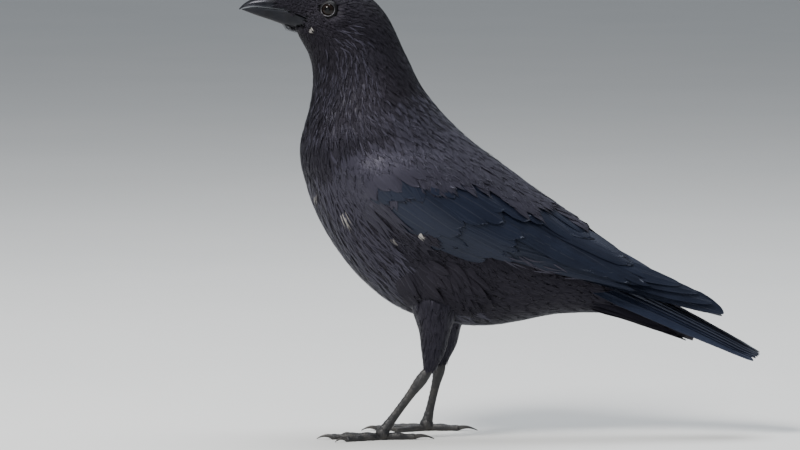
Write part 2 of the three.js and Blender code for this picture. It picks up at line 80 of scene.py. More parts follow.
# %% Lamps and sky
LAMPS = {  # place in mm, size in m, power in W, colour
    "key": ((-1300, -1300, 2300), 1.0, 120, (1.0, 0.97, 0.93)),
    "top": ((300, 600, 2400), 1.6, 60, (0.93, 0.96, 1.0)),
    "low_fill": ((-900, -2600, 600), 1.6, 7, (0.95, 0.97, 1.0)),
}
LAMP_AIM = (-40, 0, 180)
for name, (place, size, power, colour) in LAMPS.items():
    lamp = bpy.data.objects.new(name, bpy.data.lights.new(name, "AREA"))
    bpy.context.scene.collection.objects.link(lamp)
    lamp.data.shape, lamp.data.size = "DISK", size
    lamp.data.energy, lamp.data.color = power, colour
    looking(place, LAMP_AIM, lamp)

SKY, SKY_STRENGTH = (0.80, 0.86, 0.94, 1), 0.42
world = bpy.data.worlds.new("sky")
bpy.context.scene.world = world
world.use_nodes = True
background = world.node_tree.nodes["Background"].inputs
background["Color"].default_value = SKY
background["Strength"].default_value = SKY_STRENGTH
print("lamps:", ", ".join(LAMPS))

# %% [markdown]
# ## Small tools
# Every new piece is a surface worked out as whole arrays. Three tools cover most of the work: a
# smooth curve through rows of numbers, a mesh from points and faces, and a tube from rings. The
# same shapes could be modelled by hand, but arrays can lay thousands of feathers by one rule.

# %% A smooth curve through rows of numbers


def spline(rows, t):
    """Catmull-Rom curve: passes through every row, read at t = 0 .. last row. Between rows b and c
    it's the cubic whose slopes at both ends are half the difference of the neighbours."""
    rows, t = np.asarray(rows, float), np.asarray(t, float)
    last = len(rows) - 1
    k = np.clip(np.floor(t).astype(int), 0, last - 1)
    f = (t - k)[..., None]
    a, b, c, d = (rows[np.clip(k + i, 0, last)] for i in (-1, 0, 1, 2))
    slope_in, slope_out, rise = (c - a) / 2, (d - b) / 2, c - b
    square = 3 * rise - 2 * slope_in - slope_out
    return b + f * (slope_in + f * (square + f * (slope_in + slope_out - 2 * rise)))


def lerp(a, b, f):
    """a where f is 0, b where it's 1, and in line between: a + (b - a) f."""
    return a + (b - a) * f


def smoothstep(x, low, high):
    """0 below low, 1 above high, and 3x^2 - 2x^3 between."""
    x = np.clip((x - low) / (high - low), 0, 1)
    return x * x * (3 - 2 * x)


def unit(vectors):
    """Vectors scaled to length one."""
    return vectors / np.maximum(np.linalg.norm(vectors, axis=-1, keepdims=True), 1e-9)


def grid(down, across):
    """Two arrays of one shape: down changes from row to row, and across from column to column."""
    return np.broadcast_arrays(np.asarray(down)[:, None], np.asarray(across)[None, :])


def round_angles(count):
    """count even angles round a circle. The last one stops short of the first."""
    return np.arange(count) / count * math.tau


# %% A mesh from points and faces


def piece(name, points, faces, material, slot, replaces=(), uvs=None, marks=None, rim=None):
    """Makes a mesh from points (N, 3) in mm and a list of face arrays (M, corners). uvs holds a
    pair for each point, and marks a number. Edges between two points of the rim are kept sharp,
    so that a thin vane isn't shaded round. The piece rides on the one body."""
    mesh = bpy.data.meshes.new(name)
    mesh.vertices.add(len(points))
    mesh.vertices.foreach_set("co", (np.asarray(points) * MM).astype(np.float32).ravel())
    corners = np.concatenate([f.ravel() for f in faces]).astype(np.int32)
    sizes = np.concatenate([np.full(len(f), f.shape[1]) for f in faces])
    starts = np.concatenate([[0], np.cumsum(sizes)[:-1]]).astype(np.int32)
    mesh.loops.add(len(corners))
    mesh.loops.foreach_set("vertex_index", corners)
    mesh.polygons.add(len(sizes))
    mesh.polygons.foreach_set("loop_start", starts)
    for layer, values in (uvs or {}).items():
        flat = np.asarray(values, np.float32)[corners].ravel()
        mesh.uv_layers.new(name=layer).data.foreach_set("uv", flat)
    for mark, values in (marks or {}).items():
        attribute = mesh.attributes.new(mark, "FLOAT", "POINT")
        attribute.data.foreach_set("value", np.asarray(values, np.float32).ravel())
    mesh.update(calc_edges=True)
    mesh.shade_smooth()
    if rim is not None:
        ends = np.empty(2 * len(mesh.edges), np.int32)
        mesh.edges.foreach_get("vertices", ends)
        sharp = mesh.attributes.new("sharp_edge", "BOOLEAN", "EDGE")
        sharp.data.foreach_set("value", np.ravel(rim)[ends.reshape(-1, 2)].all(1))
    made = bpy.data.objects.new(name, mesh)
    bpy.context.scene.collection.objects.link(made)
    mesh.materials.append(material)
    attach(made, "root")
    if replaces:
        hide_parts(*replaces)
    print(f"{name}: {int((sizes - 2).sum())} triangles")
    return made


# %% Tubes: rings of points joined side by side


def ring_faces(count, rows, columns):
    """Faces of count closed tubes of rows x columns points. Sides wrap round each ring, and a
    ladder of quads closes both ends, with a triangle in the middle where columns is odd. Sides
    face out where rings turn left about the way the tube runs, seen from its start."""
    ring = np.arange(columns)
    a = np.arange(rows - 1)[:, None] * columns + ring
    b = np.arange(rows - 1)[:, None] * columns + (ring + 1) % columns
    sides = np.stack([a, a + columns, b + columns, b], -1).reshape(rows - 1, columns, 4)
    sides = np.roll(sides, 1, axis=1).transpose(1, 0, 2).reshape(-1, 4)
    steps = np.arange((columns - 2) // 2)
    ladder = np.stack([steps, steps + 1, columns - 2 - steps, columns - 1 - steps], -1)
    far = (rows - 1) * columns
    quads = np.concatenate([ladder, ladder[:, ::-1] + far, sides])
    first = (np.arange(count) * rows * columns)[:, None, None]
    faces = [(first + quads).reshape(-1, 4)]
    if columns % 2:
        m = columns // 2
        middle = np.array([[m - 1, m, m + 1], [far + m + 1, far + m, far + m - 1]])
        faces.insert(0, (first + middle).reshape(-1, 3))
    return faces


print("tools ready")

# %% [markdown]
# ## Materials
# A crow isn't one flat black. Hair-fine barbs slant away from each shaft, each feather is a little
# lighter or browner than the next, and the gloss is a cold blue on wing and tail and a faint
# violet on the body. Those effects are shared, so each is a node group, and the gloss stays in
# each material's own shader. A painted image would repeat its barbs, where nodes vary them.

# %% Helpers for node trees


def socket_of(tree, value, target):
    """Links a socket into target, or writes a plain value there."""
    if isinstance(value, bpy.types.NodeSocket):
        tree.links.new(value, target)
    else:
        target.default_value = value


def feed(tree, targets, **values):
    """Links or writes each value into the socket of that name among targets."""
    for name, value in values.items():
        socket_of(tree, value, targets[name.replace("_", " ")])


def calc(tree, operation, *values, clamp=False):
    """One Math node. MULTIPLY_ADD gives first * second + third."""
    made = tree.nodes.new("ShaderNodeMath")
    made.operation, made.use_clamp = operation, clamp
    for target, value in zip(made.inputs, values):
        socket_of(tree, value, target)
    return made.outputs[0]


def ramp(tree, value, low, high):
    """0 below low, 1 above high, smooth between."""
    made = tree.nodes.new("ShaderNodeMapRange")
    made.interpolation_type = "SMOOTHSTEP"
    feed(tree, made.inputs, Value=value, From_Min=low, From_Max=high)
    return made.outputs[0]


def mixed(tree, factor, first, second):
    """The first colour where factor is 0, and the second where it's 1."""
    made = tree.nodes.new("ShaderNodeMix")
    made.data_type = "RGBA"
    for index, value in ((0, factor), (6, first), (7, second)):
        socket_of(tree, value, made.inputs[index])
    return made.outputs[2]


def noise(tree, where, scale, detail=3.0, rough=0.55, stretch=None):
    """Noise from 0 to 1 over a vector, stretched along its axes where stretch is given."""
    if stretch:
        turned = tree.nodes.new("ShaderNodeMapping")
        tree.links.new(where, turned.inputs["Vector"])
        turned.inputs["Scale"].default_value = stretch
        where = turned.outputs[0]
    made = tree.nodes.new("ShaderNodeTexNoise")
    feed(tree, made.inputs, Vector=where, Scale=scale, Detail=detail, Roughness=rough)
    return made.outputs["Fac"]


def group(name, inputs, outputs):
    """A node group with named inputs (name: default, or None for a vector) and typed outputs."""
    tree = bpy.data.node_groups.new(name, "ShaderNodeTree")
    for label, default in inputs.items():
        kind = "NodeSocketVector" if default is None else (
            "NodeSocketColor" if isinstance(default, tuple) else "NodeSocketFloat")
        made = tree.interface.new_socket(label, in_out="INPUT", socket_type=kind)
        if default is not None:
            made.default_value = default
    for label, kind in outputs.items():
        tree.interface.new_socket(label, in_out="OUTPUT", socket_type="NodeSocket" + kind)
    return tree, tree.nodes.new("NodeGroupInput").outputs, tree.nodes.new("NodeGroupOutput").inputs


def placed(tree, made_group, **values):
    """The outputs of a group set into a material, with its inputs linked or set by name."""
    made = tree.nodes.new("ShaderNodeGroup")
    made.node_tree = made_group
    feed(tree, made.inputs, **values)
    return made.outputs


# %% Shared effect: barbs and shaft of a vane
barbs_group, g_in, g_out = group(
    "vane_barbs",
    {"Vane": None, "Barbs": 60.0, "Slant": 0.25, "Shaft": 0.06, "Strands": 2.6, "Seed": 0.0},
    {"Stripe": "Float", "Strand": "Float", "Shaft": "Float", "Edge": "Float", "Height": "Float"},
)
tree = barbs_group
axes = tree.nodes.new("ShaderNodeSeparateXYZ")
tree.links.new(g_in["Vane"], axes.inputs[0])
out = calc(tree, "ABSOLUTE", calc(tree, "MULTIPLY_ADD", axes.outputs[0], 2.0, -1.0))
slanted = calc(tree, "SUBTRACT", axes.outputs[1], calc(tree, "MULTIPLY", out, g_in["Slant"]))
turns = calc(tree, "MULTIPLY", slanted, g_in["Barbs"])
wave = calc(tree, "SINE", calc(tree, "MULTIPLY", turns, math.tau))
stripe = calc(tree, "MULTIPLY_ADD", wave, 0.5, 0.5)
shaft = calc(tree, "SUBTRACT", 1.0, ramp(tree, calc(tree, "DIVIDE", out, g_in["Shaft"]), 0.4, 1.0))
# Strands: barbs that cling together in locks, splayed a little towards the tip.
splay = calc(tree, "DIVIDE", calc(tree, "SUBTRACT", axes.outputs[0], 0.5),
             calc(tree, "MULTIPLY_ADD", axes.outputs[1], 0.5, 0.5))
LOCK_LENGTH, SEED_SPREAD = 1.6, 90.0  # noise per length of the feather, and from seed to seed
lock = tree.nodes.new("ShaderNodeCombineXYZ")
twice = calc(tree, "MULTIPLY", g_in["Strands"], 2.0)
lock_place = (calc(tree, "MULTIPLY", splay, twice), calc(tree, "MULTIPLY", slanted, LOCK_LENGTH),
              calc(tree, "MULTIPLY", g_in["Seed"], SEED_SPREAD))
for target, value in zip(lock.inputs, lock_place):
    tree.links.new(value, target)
strand = ramp(tree, noise(tree, lock.outputs[0], 1.0, 2.0), 0.32, 0.68)
edge = ramp(tree, out, 0.75, 1.0)
STRAND_RISE, STRIPE_RISE = 1.6, 0.35  # share of each in the height
striped = calc(tree, "MULTIPLY", stripe, STRIPE_RISE)
barbed = calc(tree, "MULTIPLY_ADD", strand, STRAND_RISE, striped)
feed(tree, g_out, Strand=strand, Stripe=stripe, Shaft=shaft, Edge=edge,
     Height=calc(tree, "ADD", barbed, shaft))
print("group:", tree.name)

# %% Shared effect: tone of a patch of plumage
tone_group, g_in, g_out = group(
    "plumage_tone",
    {"Place": None, "Tone": 0.0, "Pale": 0.0, "Brown": 0.0, "Dark": (0.01, 0.011, 0.014, 1.0),
     "Light": (0.03, 0.032, 0.045, 1.0)},
    {"Color": "Color", "Roughness": "Float"},
)
tree = tone_group
BROWN_TINT = (0.0125, 0.0100, 0.0118, 1)
PALE_TINT = (0.60, 0.57, 0.52, 1)
CLOUDS, BROWN_PATCHES = 42, 16  # to the metre
UNEVEN = 0.9  # how far the clouds move the tone
cloud = noise(tree, g_in["Place"], CLOUDS, 4)
off = calc(tree, "SUBTRACT", cloud, 0.5)
level = calc(tree, "MULTIPLY_ADD", off, UNEVEN, g_in["Tone"], clamp=True)
colour = mixed(tree, level, g_in["Dark"], g_in["Light"])
patches = ramp(tree, noise(tree, g_in["Place"], BROWN_PATCHES, 3), 0.3, 0.75)
brown = calc(tree, "MULTIPLY", g_in["Brown"], patches, clamp=True)
colour = mixed(tree, brown, colour, BROWN_TINT)
colour = mixed(tree, g_in["Pale"], colour, PALE_TINT)
feed(tree, g_out, Color=colour, Roughness=calc(tree, "MULTIPLY_ADD", cloud, 0.22, 0.30))
print("group:", tree.name)

# %% Shared effect: dust and wear
dust_group, g_in, g_out = group(
    "dry_dust",
    {"Place": None, "Color": (0.02, 0.02, 0.02, 1.0), "Dust": (0.16, 0.145, 0.12, 1.0), "Amount": 0.2,
     "Roughness": 0.4},
    {"Color": "Color", "Roughness": "Float"},
)
tree = dust_group
GRIT = 160  # specks to the metre
specks = ramp(tree, noise(tree, g_in["Place"], GRIT, 6, 0.65), 0.42, 0.78)
grime = calc(tree, "MULTIPLY", specks, g_in["Amount"])
dusty = mixed(tree, grime, g_in["Color"], g_in["Dust"])
matt = calc(tree, "MULTIPLY", grime, 0.6)
feed(tree, g_out, Color=dusty, Roughness=calc(tree, "ADD", g_in["Roughness"], matt))
print("group:", tree.name)

# %% A blank material, and what each one reads


def blank(name, **constants):
    """A material with a Principled shader whose constants sit on its own sockets."""
    made = bpy.data.materials.new(name)
    made.use_nodes = True
    shader = made.node_tree.nodes["Principled BSDF"].inputs
    feed(made.node_tree, shader, **constants)
    return made, made.node_tree, shader


def coordinates(tree):
    """A place in the object's own space, in metres."""
    return tree.nodes.new("ShaderNodeTexCoord").outputs["Object"]


def own_mark(tree, name):
    """A number that each point of the piece carries."""
    made = tree.nodes.new("ShaderNodeAttribute")
    made.attribute_type, made.attribute_name = "GEOMETRY", name
    return made.outputs["Fac"]


def relief(tree, height, strength, distance, target):
    """A Bump node that turns a height, in units of distance in metres, into a normal."""
    made = tree.nodes.new("ShaderNodeBump")
    feed(tree, made.inputs, Strength=strength, Distance=distance, Height=height)
    tree.links.new(made.outputs[0], target)


def dusted(tree, shader, **values):
    """Dust over a colour and a roughness, linked to the shader."""
    made = placed(tree, dust_group, **values)
    feed(tree, shader, Base_Color=made["Color"], Roughness=made["Roughness"])


# %% Feather materials
BLUE_GLOSS, VIOLET_GLOSS = (0.70, 0.79, 1.0, 1), (0.77, 0.735, 1.0, 1)
COAT_TINT, SHEEN_TINT = (0.62, 0.74, 1.0, 1), (0.85, 0.88, 1.0, 1)
SHAFT_COLOUR = (0.030, 0.030, 0.036, 1)
BARB_HEIGHT = 0.00016  # m
FEATHERS = {  # dark and light colour; specular tint, specular level, weight of the blue coat;
    # barbs along the vane, their slant, shaft width, strands, strand contrast, brown
    "body_plumage": ((0.0024, 0.0023, 0.0032, 1), (0.0160, 0.0146, 0.0200, 1),
                     VIOLET_GLOSS, 0.255, 0.03, 26, 0.35, 0.08, 2.4, 0.75, 0.40),
    "face_plumage": ((0.0016, 0.0015, 0.0021, 1), (0.0130, 0.0117, 0.0152, 1),
                     VIOLET_GLOSS, 0.12, 0.02, 20, 0.60, 0.12, 1.4, 0.9, 0.40),
    "hackle_plumage": ((0.0020, 0.0019, 0.0026, 1), (0.0150, 0.0134, 0.0176, 1),
                       VIOLET_GLOSS, 0.18, 0.02, 20, 0.60, 0.12, 1.4, 0.7, 0.40),
    "mantle_plumage": ((0.0026, 0.0025, 0.0038, 1), (0.0270, 0.0250, 0.0350, 1),
                       VIOLET_GLOSS, 0.34, 0.12, 30, 0.35, 0.06, 3.0, 0.75, 0.35),
    "wing_plumage": ((0.0028, 0.0040, 0.0100, 1), (0.0090, 0.0125, 0.0270, 1),
                     BLUE_GLOSS, 0.30, 0.14, 44, 0.30, 0.05, 4.0, 0.35, 0.1),
    "flight_plumage": ((0.0028, 0.0040, 0.0095, 1), (0.0085, 0.0120, 0.0250, 1),
                       BLUE_GLOSS, 0.30, 0.14, 210, 0.10, 0.05, 3.0, 0.25, 0.05),
}
plumage = {}
for name, (dark, light, tint, specular, gloss, *vane_look) in FEATHERS.items():
    barbs, slant, shaft, strands, contrast, brown = vane_look
    material, tree, shader = blank(
        name, Specular_Tint=tint, Specular_IOR_Level=specular, Coat_Roughness=0.30,
        Coat_Tint=COAT_TINT, Sheen_Weight=0.02, Sheen_Roughness=0.45, Sheen_Tint=SHEEN_TINT)
    vane_map = tree.nodes.new("ShaderNodeUVMap")
    vane_map.uv_map = "Vane"
    vane = placed(tree, barbs_group, Vane=vane_map.outputs[0], Barbs=barbs, Slant=slant, Shaft=shaft,
                  Strands=strands, Seed=own_mark(tree, "tone"))
    tone = placed(tree, tone_group, Place=coordinates(tree), Tone=own_mark(tree, "tone"),
                  Pale=own_mark(tree, "pale"), Brown=brown, Dark=dark, Light=light)
    fine = calc(tree, "MULTIPLY", vane["Stripe"], 0.1)
    # Barb strands mix towards the light colour: partly their own grain, partly painted highlights along the
    # barbs.
    lit = calc(tree, "MULTIPLY_ADD", vane["Strand"], contrast, fine)
    striped = mixed(tree, calc(tree, "MULTIPLY", lit, 0.6), tone["Color"], light)
    shafted = mixed(tree, calc(tree, "MULTIPLY", vane["Shaft"], 0.4), striped, SHAFT_COLOUR)
    rough = calc(tree, "SUBTRACT", tone["Roughness"], calc(tree, "MULTIPLY", vane["Shaft"], 0.10))
    whole = calc(tree, "SUBTRACT", 1.0, calc(tree, "MULTIPLY", vane["Edge"], 0.6))
    coat = calc(tree, "MULTIPLY", whole, gloss)
    feed(tree, shader, Base_Color=shafted, Roughness=rough, Coat_Weight=coat)
    relief(tree, vane["Height"], 0.5, BARB_HEIGHT, shader["Normal"])
    plumage[name] = material
print("feather materials:", ", ".join(plumage))

# %% Skin, bill and claws
SKIN_DARK, SKIN_LIGHT = (0.003, 0.003, 0.0035, 1), (0.010, 0.010, 0.012, 1)
HORN_DARK, HORN_LIGHT = (0.0022, 0.0024, 0.0030, 1), (0.0070, 0.0076, 0.0095, 1)
HORN_EDGE, HORN_GLOSS = (0.020, 0.022, 0.027, 1), (0.78, 0.81, 1.0, 1)
CLAW_DARK, CLAW_LIGHT = (0.010, 0.010, 0.011, 1), (0.045, 0.042, 0.040, 1)
skin_material, tree, shader = blank("down_and_skin", Specular_IOR_Level=0.12, Roughness=0.8)
tone = placed(tree, tone_group, Place=coordinates(tree), Tone=0.15, Brown=0.6,
              Dark=SKIN_DARK, Light=SKIN_LIGHT)
feed(tree, shader, Base_Color=tone["Color"])
relief(tree, noise(tree, coordinates(tree), 900, 4), 0.6, 0.0004, shader["Normal"])

horn_material, tree, shader = blank("bill_horn", Specular_IOR_Level=0.16, Specular_Tint=HORN_GLOSS,
                                    Coat_Roughness=0.14, Coat_Weight=0.08)
where = coordinates(tree)
fibre = noise(tree, where, 700, 3, 0.6, stretch=(0.12, 1.0, 1.0))
mottle = noise(tree, where, 120, 5)
horn_colour = mixed(tree, ramp(tree, mottle, 0.3, 0.7), HORN_DARK, HORN_LIGHT)
# Lighter horn along the mouth line and towards the tip.
mouth_edge_mark = calc(tree, "MULTIPLY", own_mark(tree, "edge"), 0.75)
horn_colour = mixed(tree, mouth_edge_mark, horn_colour, HORN_EDGE)
dusted(tree, shader, Place=where, Color=horn_colour, Amount=0.04,
       Roughness=calc(tree, "MULTIPLY_ADD", mottle, 0.18, 0.22))
relief(tree, calc(tree, "MULTIPLY_ADD", mottle, 0.6, fibre), 0.35, 0.00025, shader["Normal"])

claw_material, tree, shader = blank("claw_horn", Specular_IOR_Level=0.5)
where = coordinates(tree)
fibre = noise(tree, where, 900, 4)
claw_colour = mixed(tree, fibre, CLAW_DARK, CLAW_LIGHT)
dusted(tree, shader, Place=where, Color=claw_colour, Amount=0.35, Roughness=0.32)
relief(tree, fibre, 0.3, 0.0002, shader["Normal"])
print("skin, bill and claws:", skin_material.name, horn_material.name, claw_material.name)

# %% Scales, lids and eye
SCALE_DARK, SCALE_LIGHT = (0.005, 0.005, 0.006, 1), (0.020, 0.020, 0.023, 1)
LID_DARK, LID_HIGHLIGHT = (0.0030, 0.0030, 0.0036, 1), (0.34, 0.33, 0.36, 1)
LID_BEAD, PUPIL = (0.008, 0.008, 0.009, 1), (0.0015, 0.0015, 0.002, 1)
IRIS_DARK, IRIS_BROWN = (0.0025, 0.0015, 0.001, 1), (0.010, 0.005, 0.003, 1)
scale_material, tree, shader = blank("leg_scales", Specular_IOR_Level=0.45)
where = coordinates(tree)
cells = tree.nodes.new("ShaderNodeTexVoronoi")
cells.feature = "DISTANCE_TO_EDGE"
feed(tree, cells.inputs, Vector=where, Scale=900)
groove = ramp(tree, cells.outputs["Distance"], 0.0, 0.22)
plate = calc(tree, "MULTIPLY", own_mark(tree, "scute"), groove)
scale_colour = mixed(tree, plate, SCALE_DARK, SCALE_LIGHT)
dusted(tree, shader, Place=where, Color=scale_colour, Amount=0.20, Roughness=0.40)
relief(tree, groove, 0.5, 0.00025, shader["Normal"])

lid_material, tree, shader = blank("eyelid_skin", Specular_IOR_Level=0.16)
bead = noise(tree, coordinates(tree), 1400, 4)
# The rim mark mixes in a pale painted highlight.
lid_colour = mixed(tree, own_mark(tree, "rim"), LID_DARK, LID_HIGHLIGHT)
lid_colour = mixed(tree, calc(tree, "MULTIPLY", bead, 0.3), lid_colour, LID_BEAD)
feed(tree, shader, Base_Color=lid_colour, Roughness=calc(tree, "MULTIPLY_ADD", bead, 0.3, 0.35))
relief(tree, bead, 0.4, 0.0003, shader["Normal"])

eye_material, tree, shader = blank("dark_eye", Specular_IOR_Level=0.22)
iris = own_mark(tree, "iris")
fleck = noise(tree, coordinates(tree), 1500, 3)
brown_iris = mixed(tree, fleck, IRIS_DARK, IRIS_BROWN)
feed(tree, shader, Base_Color=mixed(tree, iris, PUPIL, brown_iris),
     Roughness=calc(tree, "MULTIPLY_ADD", iris, 0.05, 0.04))
print("materials:", len(bpy.data.materials))

# %% [markdown]
# ## The body's form
# Trunk, neck and head are one form: a row of sections, each set by a point on the back line, a
# point on the throat and belly line, and a half width. The same numbers drive the solids, so what
# is worked out here lies on them. A sculpted mesh would serve as well, but on a formula every
# feather can ask where the surface is and which way it faces. Two more sections run on over the
# tail's root, because the coverts above and below the tail reach past the flesh.

# %% Body sections: back x, z; front x, z; half width; egg
BODY = [
    (-170.5, 340.8, -156.5, 313.2, 9.6, -0.06),   # bill base
    (-153.6, 345.2, -151.8, 304.8, 14.6, -0.08),  # lores
    (-134.4, 348.6, -146.6, 294.8, 19.4, -0.05),  # eye
    (-112.8, 346.2, -143.8, 283.8, 21.8, -0.02),  # hind crown
    (-89.2, 327.3, -143.2, 270.8, 24.0, 0),       # nape
    (-72.4, 294.1, -145.0, 256.0, 29.0, 0),       # neck
    (-58.2, 266.6, -149.2, 240.2, 36.0, 0),       # neck base
    (-35.0, 239.2, -153.0, 222.6, 42.5, 0),       # shoulder
    (-10.0, 215.5, -150.0, 200.0, 45.5, 0.02),    # breast
    (11.0, 194.0, -136.0, 163.5, 46.0, 0.02),     # back
    (31.0, 175.5, -108.0, 124.0, 43.0, 0),        # belly
    (47.5, 161.5, -70.0, 96.5, 37.0, 0),          # hip
    (63.0, 148.5, -14.0, 85.5, 27.5, 0),          # vent
    (77.5, 136.5, 46.0, 94.5, 18.5, 0),           # tail coverts
    (90.0, 126.0, 88.0, 94.0, 13.0, 0),           # tail root
    (122.0, 108.5, 118.0, 84.5, 10.5, 0),         # over the tail
    (154.0, 91.0, 149.0, 73.5, 6.0, 0),
]
FLESH_END = 14
COAT_END = len(BODY) - 1
FULLNESS = 0.92


def body_point(t, angle, grow=0.0):
    """Section t, at angle from the back line: the middle of the section, plus its axis times the
    cosine, and sideways the half width times the sine to the power FULLNESS."""
    back_x, back_z, front_x, front_z, half, egg = np.moveaxis(spline(BODY, t), -1, 0)
    axis_x, axis_z = (back_x - front_x) / 2, (back_z - front_z) / 2
    along = np.cos(angle) * (1 + grow / np.hypot(axis_x, axis_z))
    across = np.sign(np.sin(angle)) * np.abs(np.sin(angle)) ** FULLNESS * (half + grow)
    y = across * (1 + egg * np.cos(angle))
    return np.stack([(back_x + front_x) / 2 + axis_x * along, y,
                     (back_z + front_z) / 2 + axis_z * along], -1)


# %% A surface that can be read anywhere


class Surface:
    """A grid of points over u (down the rows) and v (across the columns), both 0 to 1. at(u, v)
    gives the point, the change of the point along u and along v, and the outward normal, each
    mixed from the four nearest grid points."""

    def __init__(self, points, closed=False, out=1.0):
        rows, columns = points.shape[:2]
        along = np.gradient(points, 1 / (rows - 1), axis=0)
        wide = np.concatenate([points[:, -2:-1], points, points[:, 1:2]], 1) if closed else points
        across = np.gradient(wide, 1 / (columns - 1), axis=1)
        across = across[:, 1:-1] if closed else across
        normal = unit(np.cross(along, across)) * out
        self.closed, self.points = closed, points
        self.grid = np.concatenate([points, along, across, normal], -1)

    def at(self, u, v):
        """Point, change along u, change along v and outward normal at u and v."""
        rows, columns = self.grid.shape[:2]
        v = v % 1.0 if self.closed else np.clip(v, 0, 1)
        x, y = np.clip(u, 0, 1) * (rows - 1), v * (columns - 1)
        i = np.minimum(x.astype(int), rows - 2)
        j = np.minimum(y.astype(int), columns - 2)
        f, g = (x - i)[..., None], (y - j)[..., None]
        near = lerp(self.grid[i, j], self.grid[i, j + 1], g)
        far = lerp(self.grid[i + 1, j], self.grid[i + 1, j + 1], g)
        read = lerp(near, far, f)
        return read[..., :3], read[..., 3:6], read[..., 6:9], unit(read[..., 9:])

    def areas(self):
        """The area of each grid cell, as a table."""
        p = self.points
        first, second = p[1:, 1:] - p[:-1, :-1], p[1:, :-1] - p[:-1, 1:]
        return np.linalg.norm(np.cross(first, second), axis=-1) / 2


def facing_out(points, closed=False):
    """A surface whose normals point away from its middle."""
    made = Surface(points, closed)
    point, _, _, normal = made.at(np.array([0.4]), np.array([0.5]))
    out = (normal * (point - points.mean((0, 1)))).sum() > 0
    return made if out else Surface(points, closed, out=-1)


ROWS, COLUMNS = 320, 180
station, turn = grid(np.linspace(0, COAT_END, ROWS + 1), np.linspace(0, math.tau, COLUMNS + 1))
body = Surface(body_point(station, turn), closed=True)
print("body area cm2:", round(body.areas().sum() / 100))

# %% [markdown]
# ## The folded wings' form
# A folded wing is a shield over the flank. Each section runs from the top edge by the back to the
# bottom edge by the belly, and bulges between them. A flat board with feathers on it would be
# simpler, but it would stand off the flank. The shield is nearly upright, so a place on it can be
# given by x and z alone, which is how the rows of coverts are set out below.

# %% Wing sections: top x, y, z; bottom x, y, z; bulge
WING = [
    (-121, 33, 222, -118, 36, 205, 2.5),
    (-88, 24, 243, -101, 42, 177, 16),
    (-47, 18, 241, -70, 46, 158, 20),
    (-8, 12, 217, -35, 46, 146, 20),
    (27, 9, 192.5, 2, 42, 138, 15),
    (56, 8, 173, 30, 37, 134, 8),
    (80, 8, 157.5, 70, 31, 126, 5),
    (105, 9, 141.5, 98, 26.5, 118, 3),
    (126, 11, 129, 121, 21, 112, 1),
    (150, 13, 115, 145, 17, 105, 0.5),
    (172, 14, 101, 172, 14.5, 96, 0),
]
SIDES = (("left", -1), ("right", 1))
DROOP, DROOP_FROM, DROOP_TO = 7.0, 20.0, 172.0  # the right wing's tip hangs lower
WING_FROM, WING_SPAN = -120, 295  # x at the bend, and from there to past the tip


def droop(side, x):
    """How far the wing hangs at x: nothing on the left, and more towards the tip on the right."""
    return DROOP * smoothstep(x, DROOP_FROM, DROOP_TO) * (side > 0)


def wing_point(t, v, side, inward=0.0):
    """Section t, at v from the top edge (0) to the bottom edge (1). The bulge is 4v(1 - v)."""
    tx, ty, tz, bx, by, bz, bulge = np.moveaxis(spline(WING, t), -1, 0)
    x = lerp(tx, bx, v)
    y = lerp(ty, by, v) + bulge * 4 * v * (1 - v) - inward
    return np.stack([x, side * y, lerp(tz, bz, v) - droop(side, x)], -1)


EDGE = 0.12  # the wing surface runs on past both edges by this share, for feathers that lap over
wing_grid = grid(np.linspace(0, len(WING) - 1, 201), np.linspace(-EDGE, 1 + EDGE, 61))
wings = {side: Surface(wing_point(*wing_grid, side), out=side) for _, side in SIDES}


def newton_step(surface, x, z, u, v, least=0.0):
    """How far u and v are from the place at x and z in the side view, if the surface were flat. A
    determinant nearer nought than least counts as least."""
    point, along, across, _ = surface.at(u, v)
    dx, dz = x - point[..., 0], z - point[..., 2]
    det = along[..., 0] * across[..., 2] - across[..., 0] * along[..., 2]
    det = np.where(np.abs(det) < least, least, det)
    du, dv = dx * across[..., 2] - dz * across[..., 0], dz * along[..., 0] - dx * along[..., 2]
    return du / det, dv / det


def on_wing(x, z):
    """u and v of the left wing's surface at each x and z, by twelve of Newton's steps."""
    x, z = np.asarray(x, float), np.asarray(z, float)
    u, v = np.clip((x - WING_FROM) / WING_SPAN, 0.02, 0.98), np.full(x.shape, 0.5)
    for _ in range(12):
        du, dv = newton_step(wings[-1], x, z, u, v)
        u, v = np.clip(u + 0.9 * du, 0, 1), np.clip(v + 0.9 * dv, 0, 1)
    return u, v


print("wing place check:", [round(float(c), 3) for c in np.ravel(on_wing([0.0], [170.0]))])

# %% [markdown]
# ## One skin
# The flesh is one piece, so it gets one skin: the body's form and both shanks and both wing arms,
# each a little inside its solid to leave room for the coat, fused by a voxel remesh. A boolean
# union would do too, but the remesh also rounds the creases where a leg or a wing leaves the body.

# %% Closed tubes for the skin


def outward(points, faces):
    """Turns all faces over where the signed volume, the sum of a . (b x c) / 6, is negative."""
    volume = 0.0
    for f in faces:
        for k in range(1, f.shape[1] - 1):
            a, b, c = points[f[:, 0]], points[f[:, k]], points[f[:, k + 1]]
            volume += np.einsum("ij,ij->i", a, np.cross(b, c)).sum()
    return faces if volume > 0 else [f[:, ::-1] for f in faces]


def closed_tubes(parts):
    """Several tubes, each an array (rows, columns, 3), as one set of points and faces."""
    points, faces, first = [], [], 0
    for rings in parts:
        flat = rings.reshape(-1, 3)
        faces += [f + first for f in outward(flat, ring_faces(1, *rings.shape[:2]))]
        points.append(flat)
        first += len(flat)
    return np.concatenate(points), faces


SHANK = [(118, 4, -8, 24, 15), (98, 3.5, -4, 17, 13.5), (82, 3, -2, 11.5, 10.5), (68, 2, 0, 9, 8),
         (57, 0, 0, 5.6, 5.2), (48, -1.5, 0, 4.6, 4.4)]  # z, dx, dy, half depth, half width
ANKLE = {-1: (-53, -26, 56), 1: (-44, 26, 58)}
FOOT = {-1: (-90, -30, 6), 1: (-56, 30, 6)}


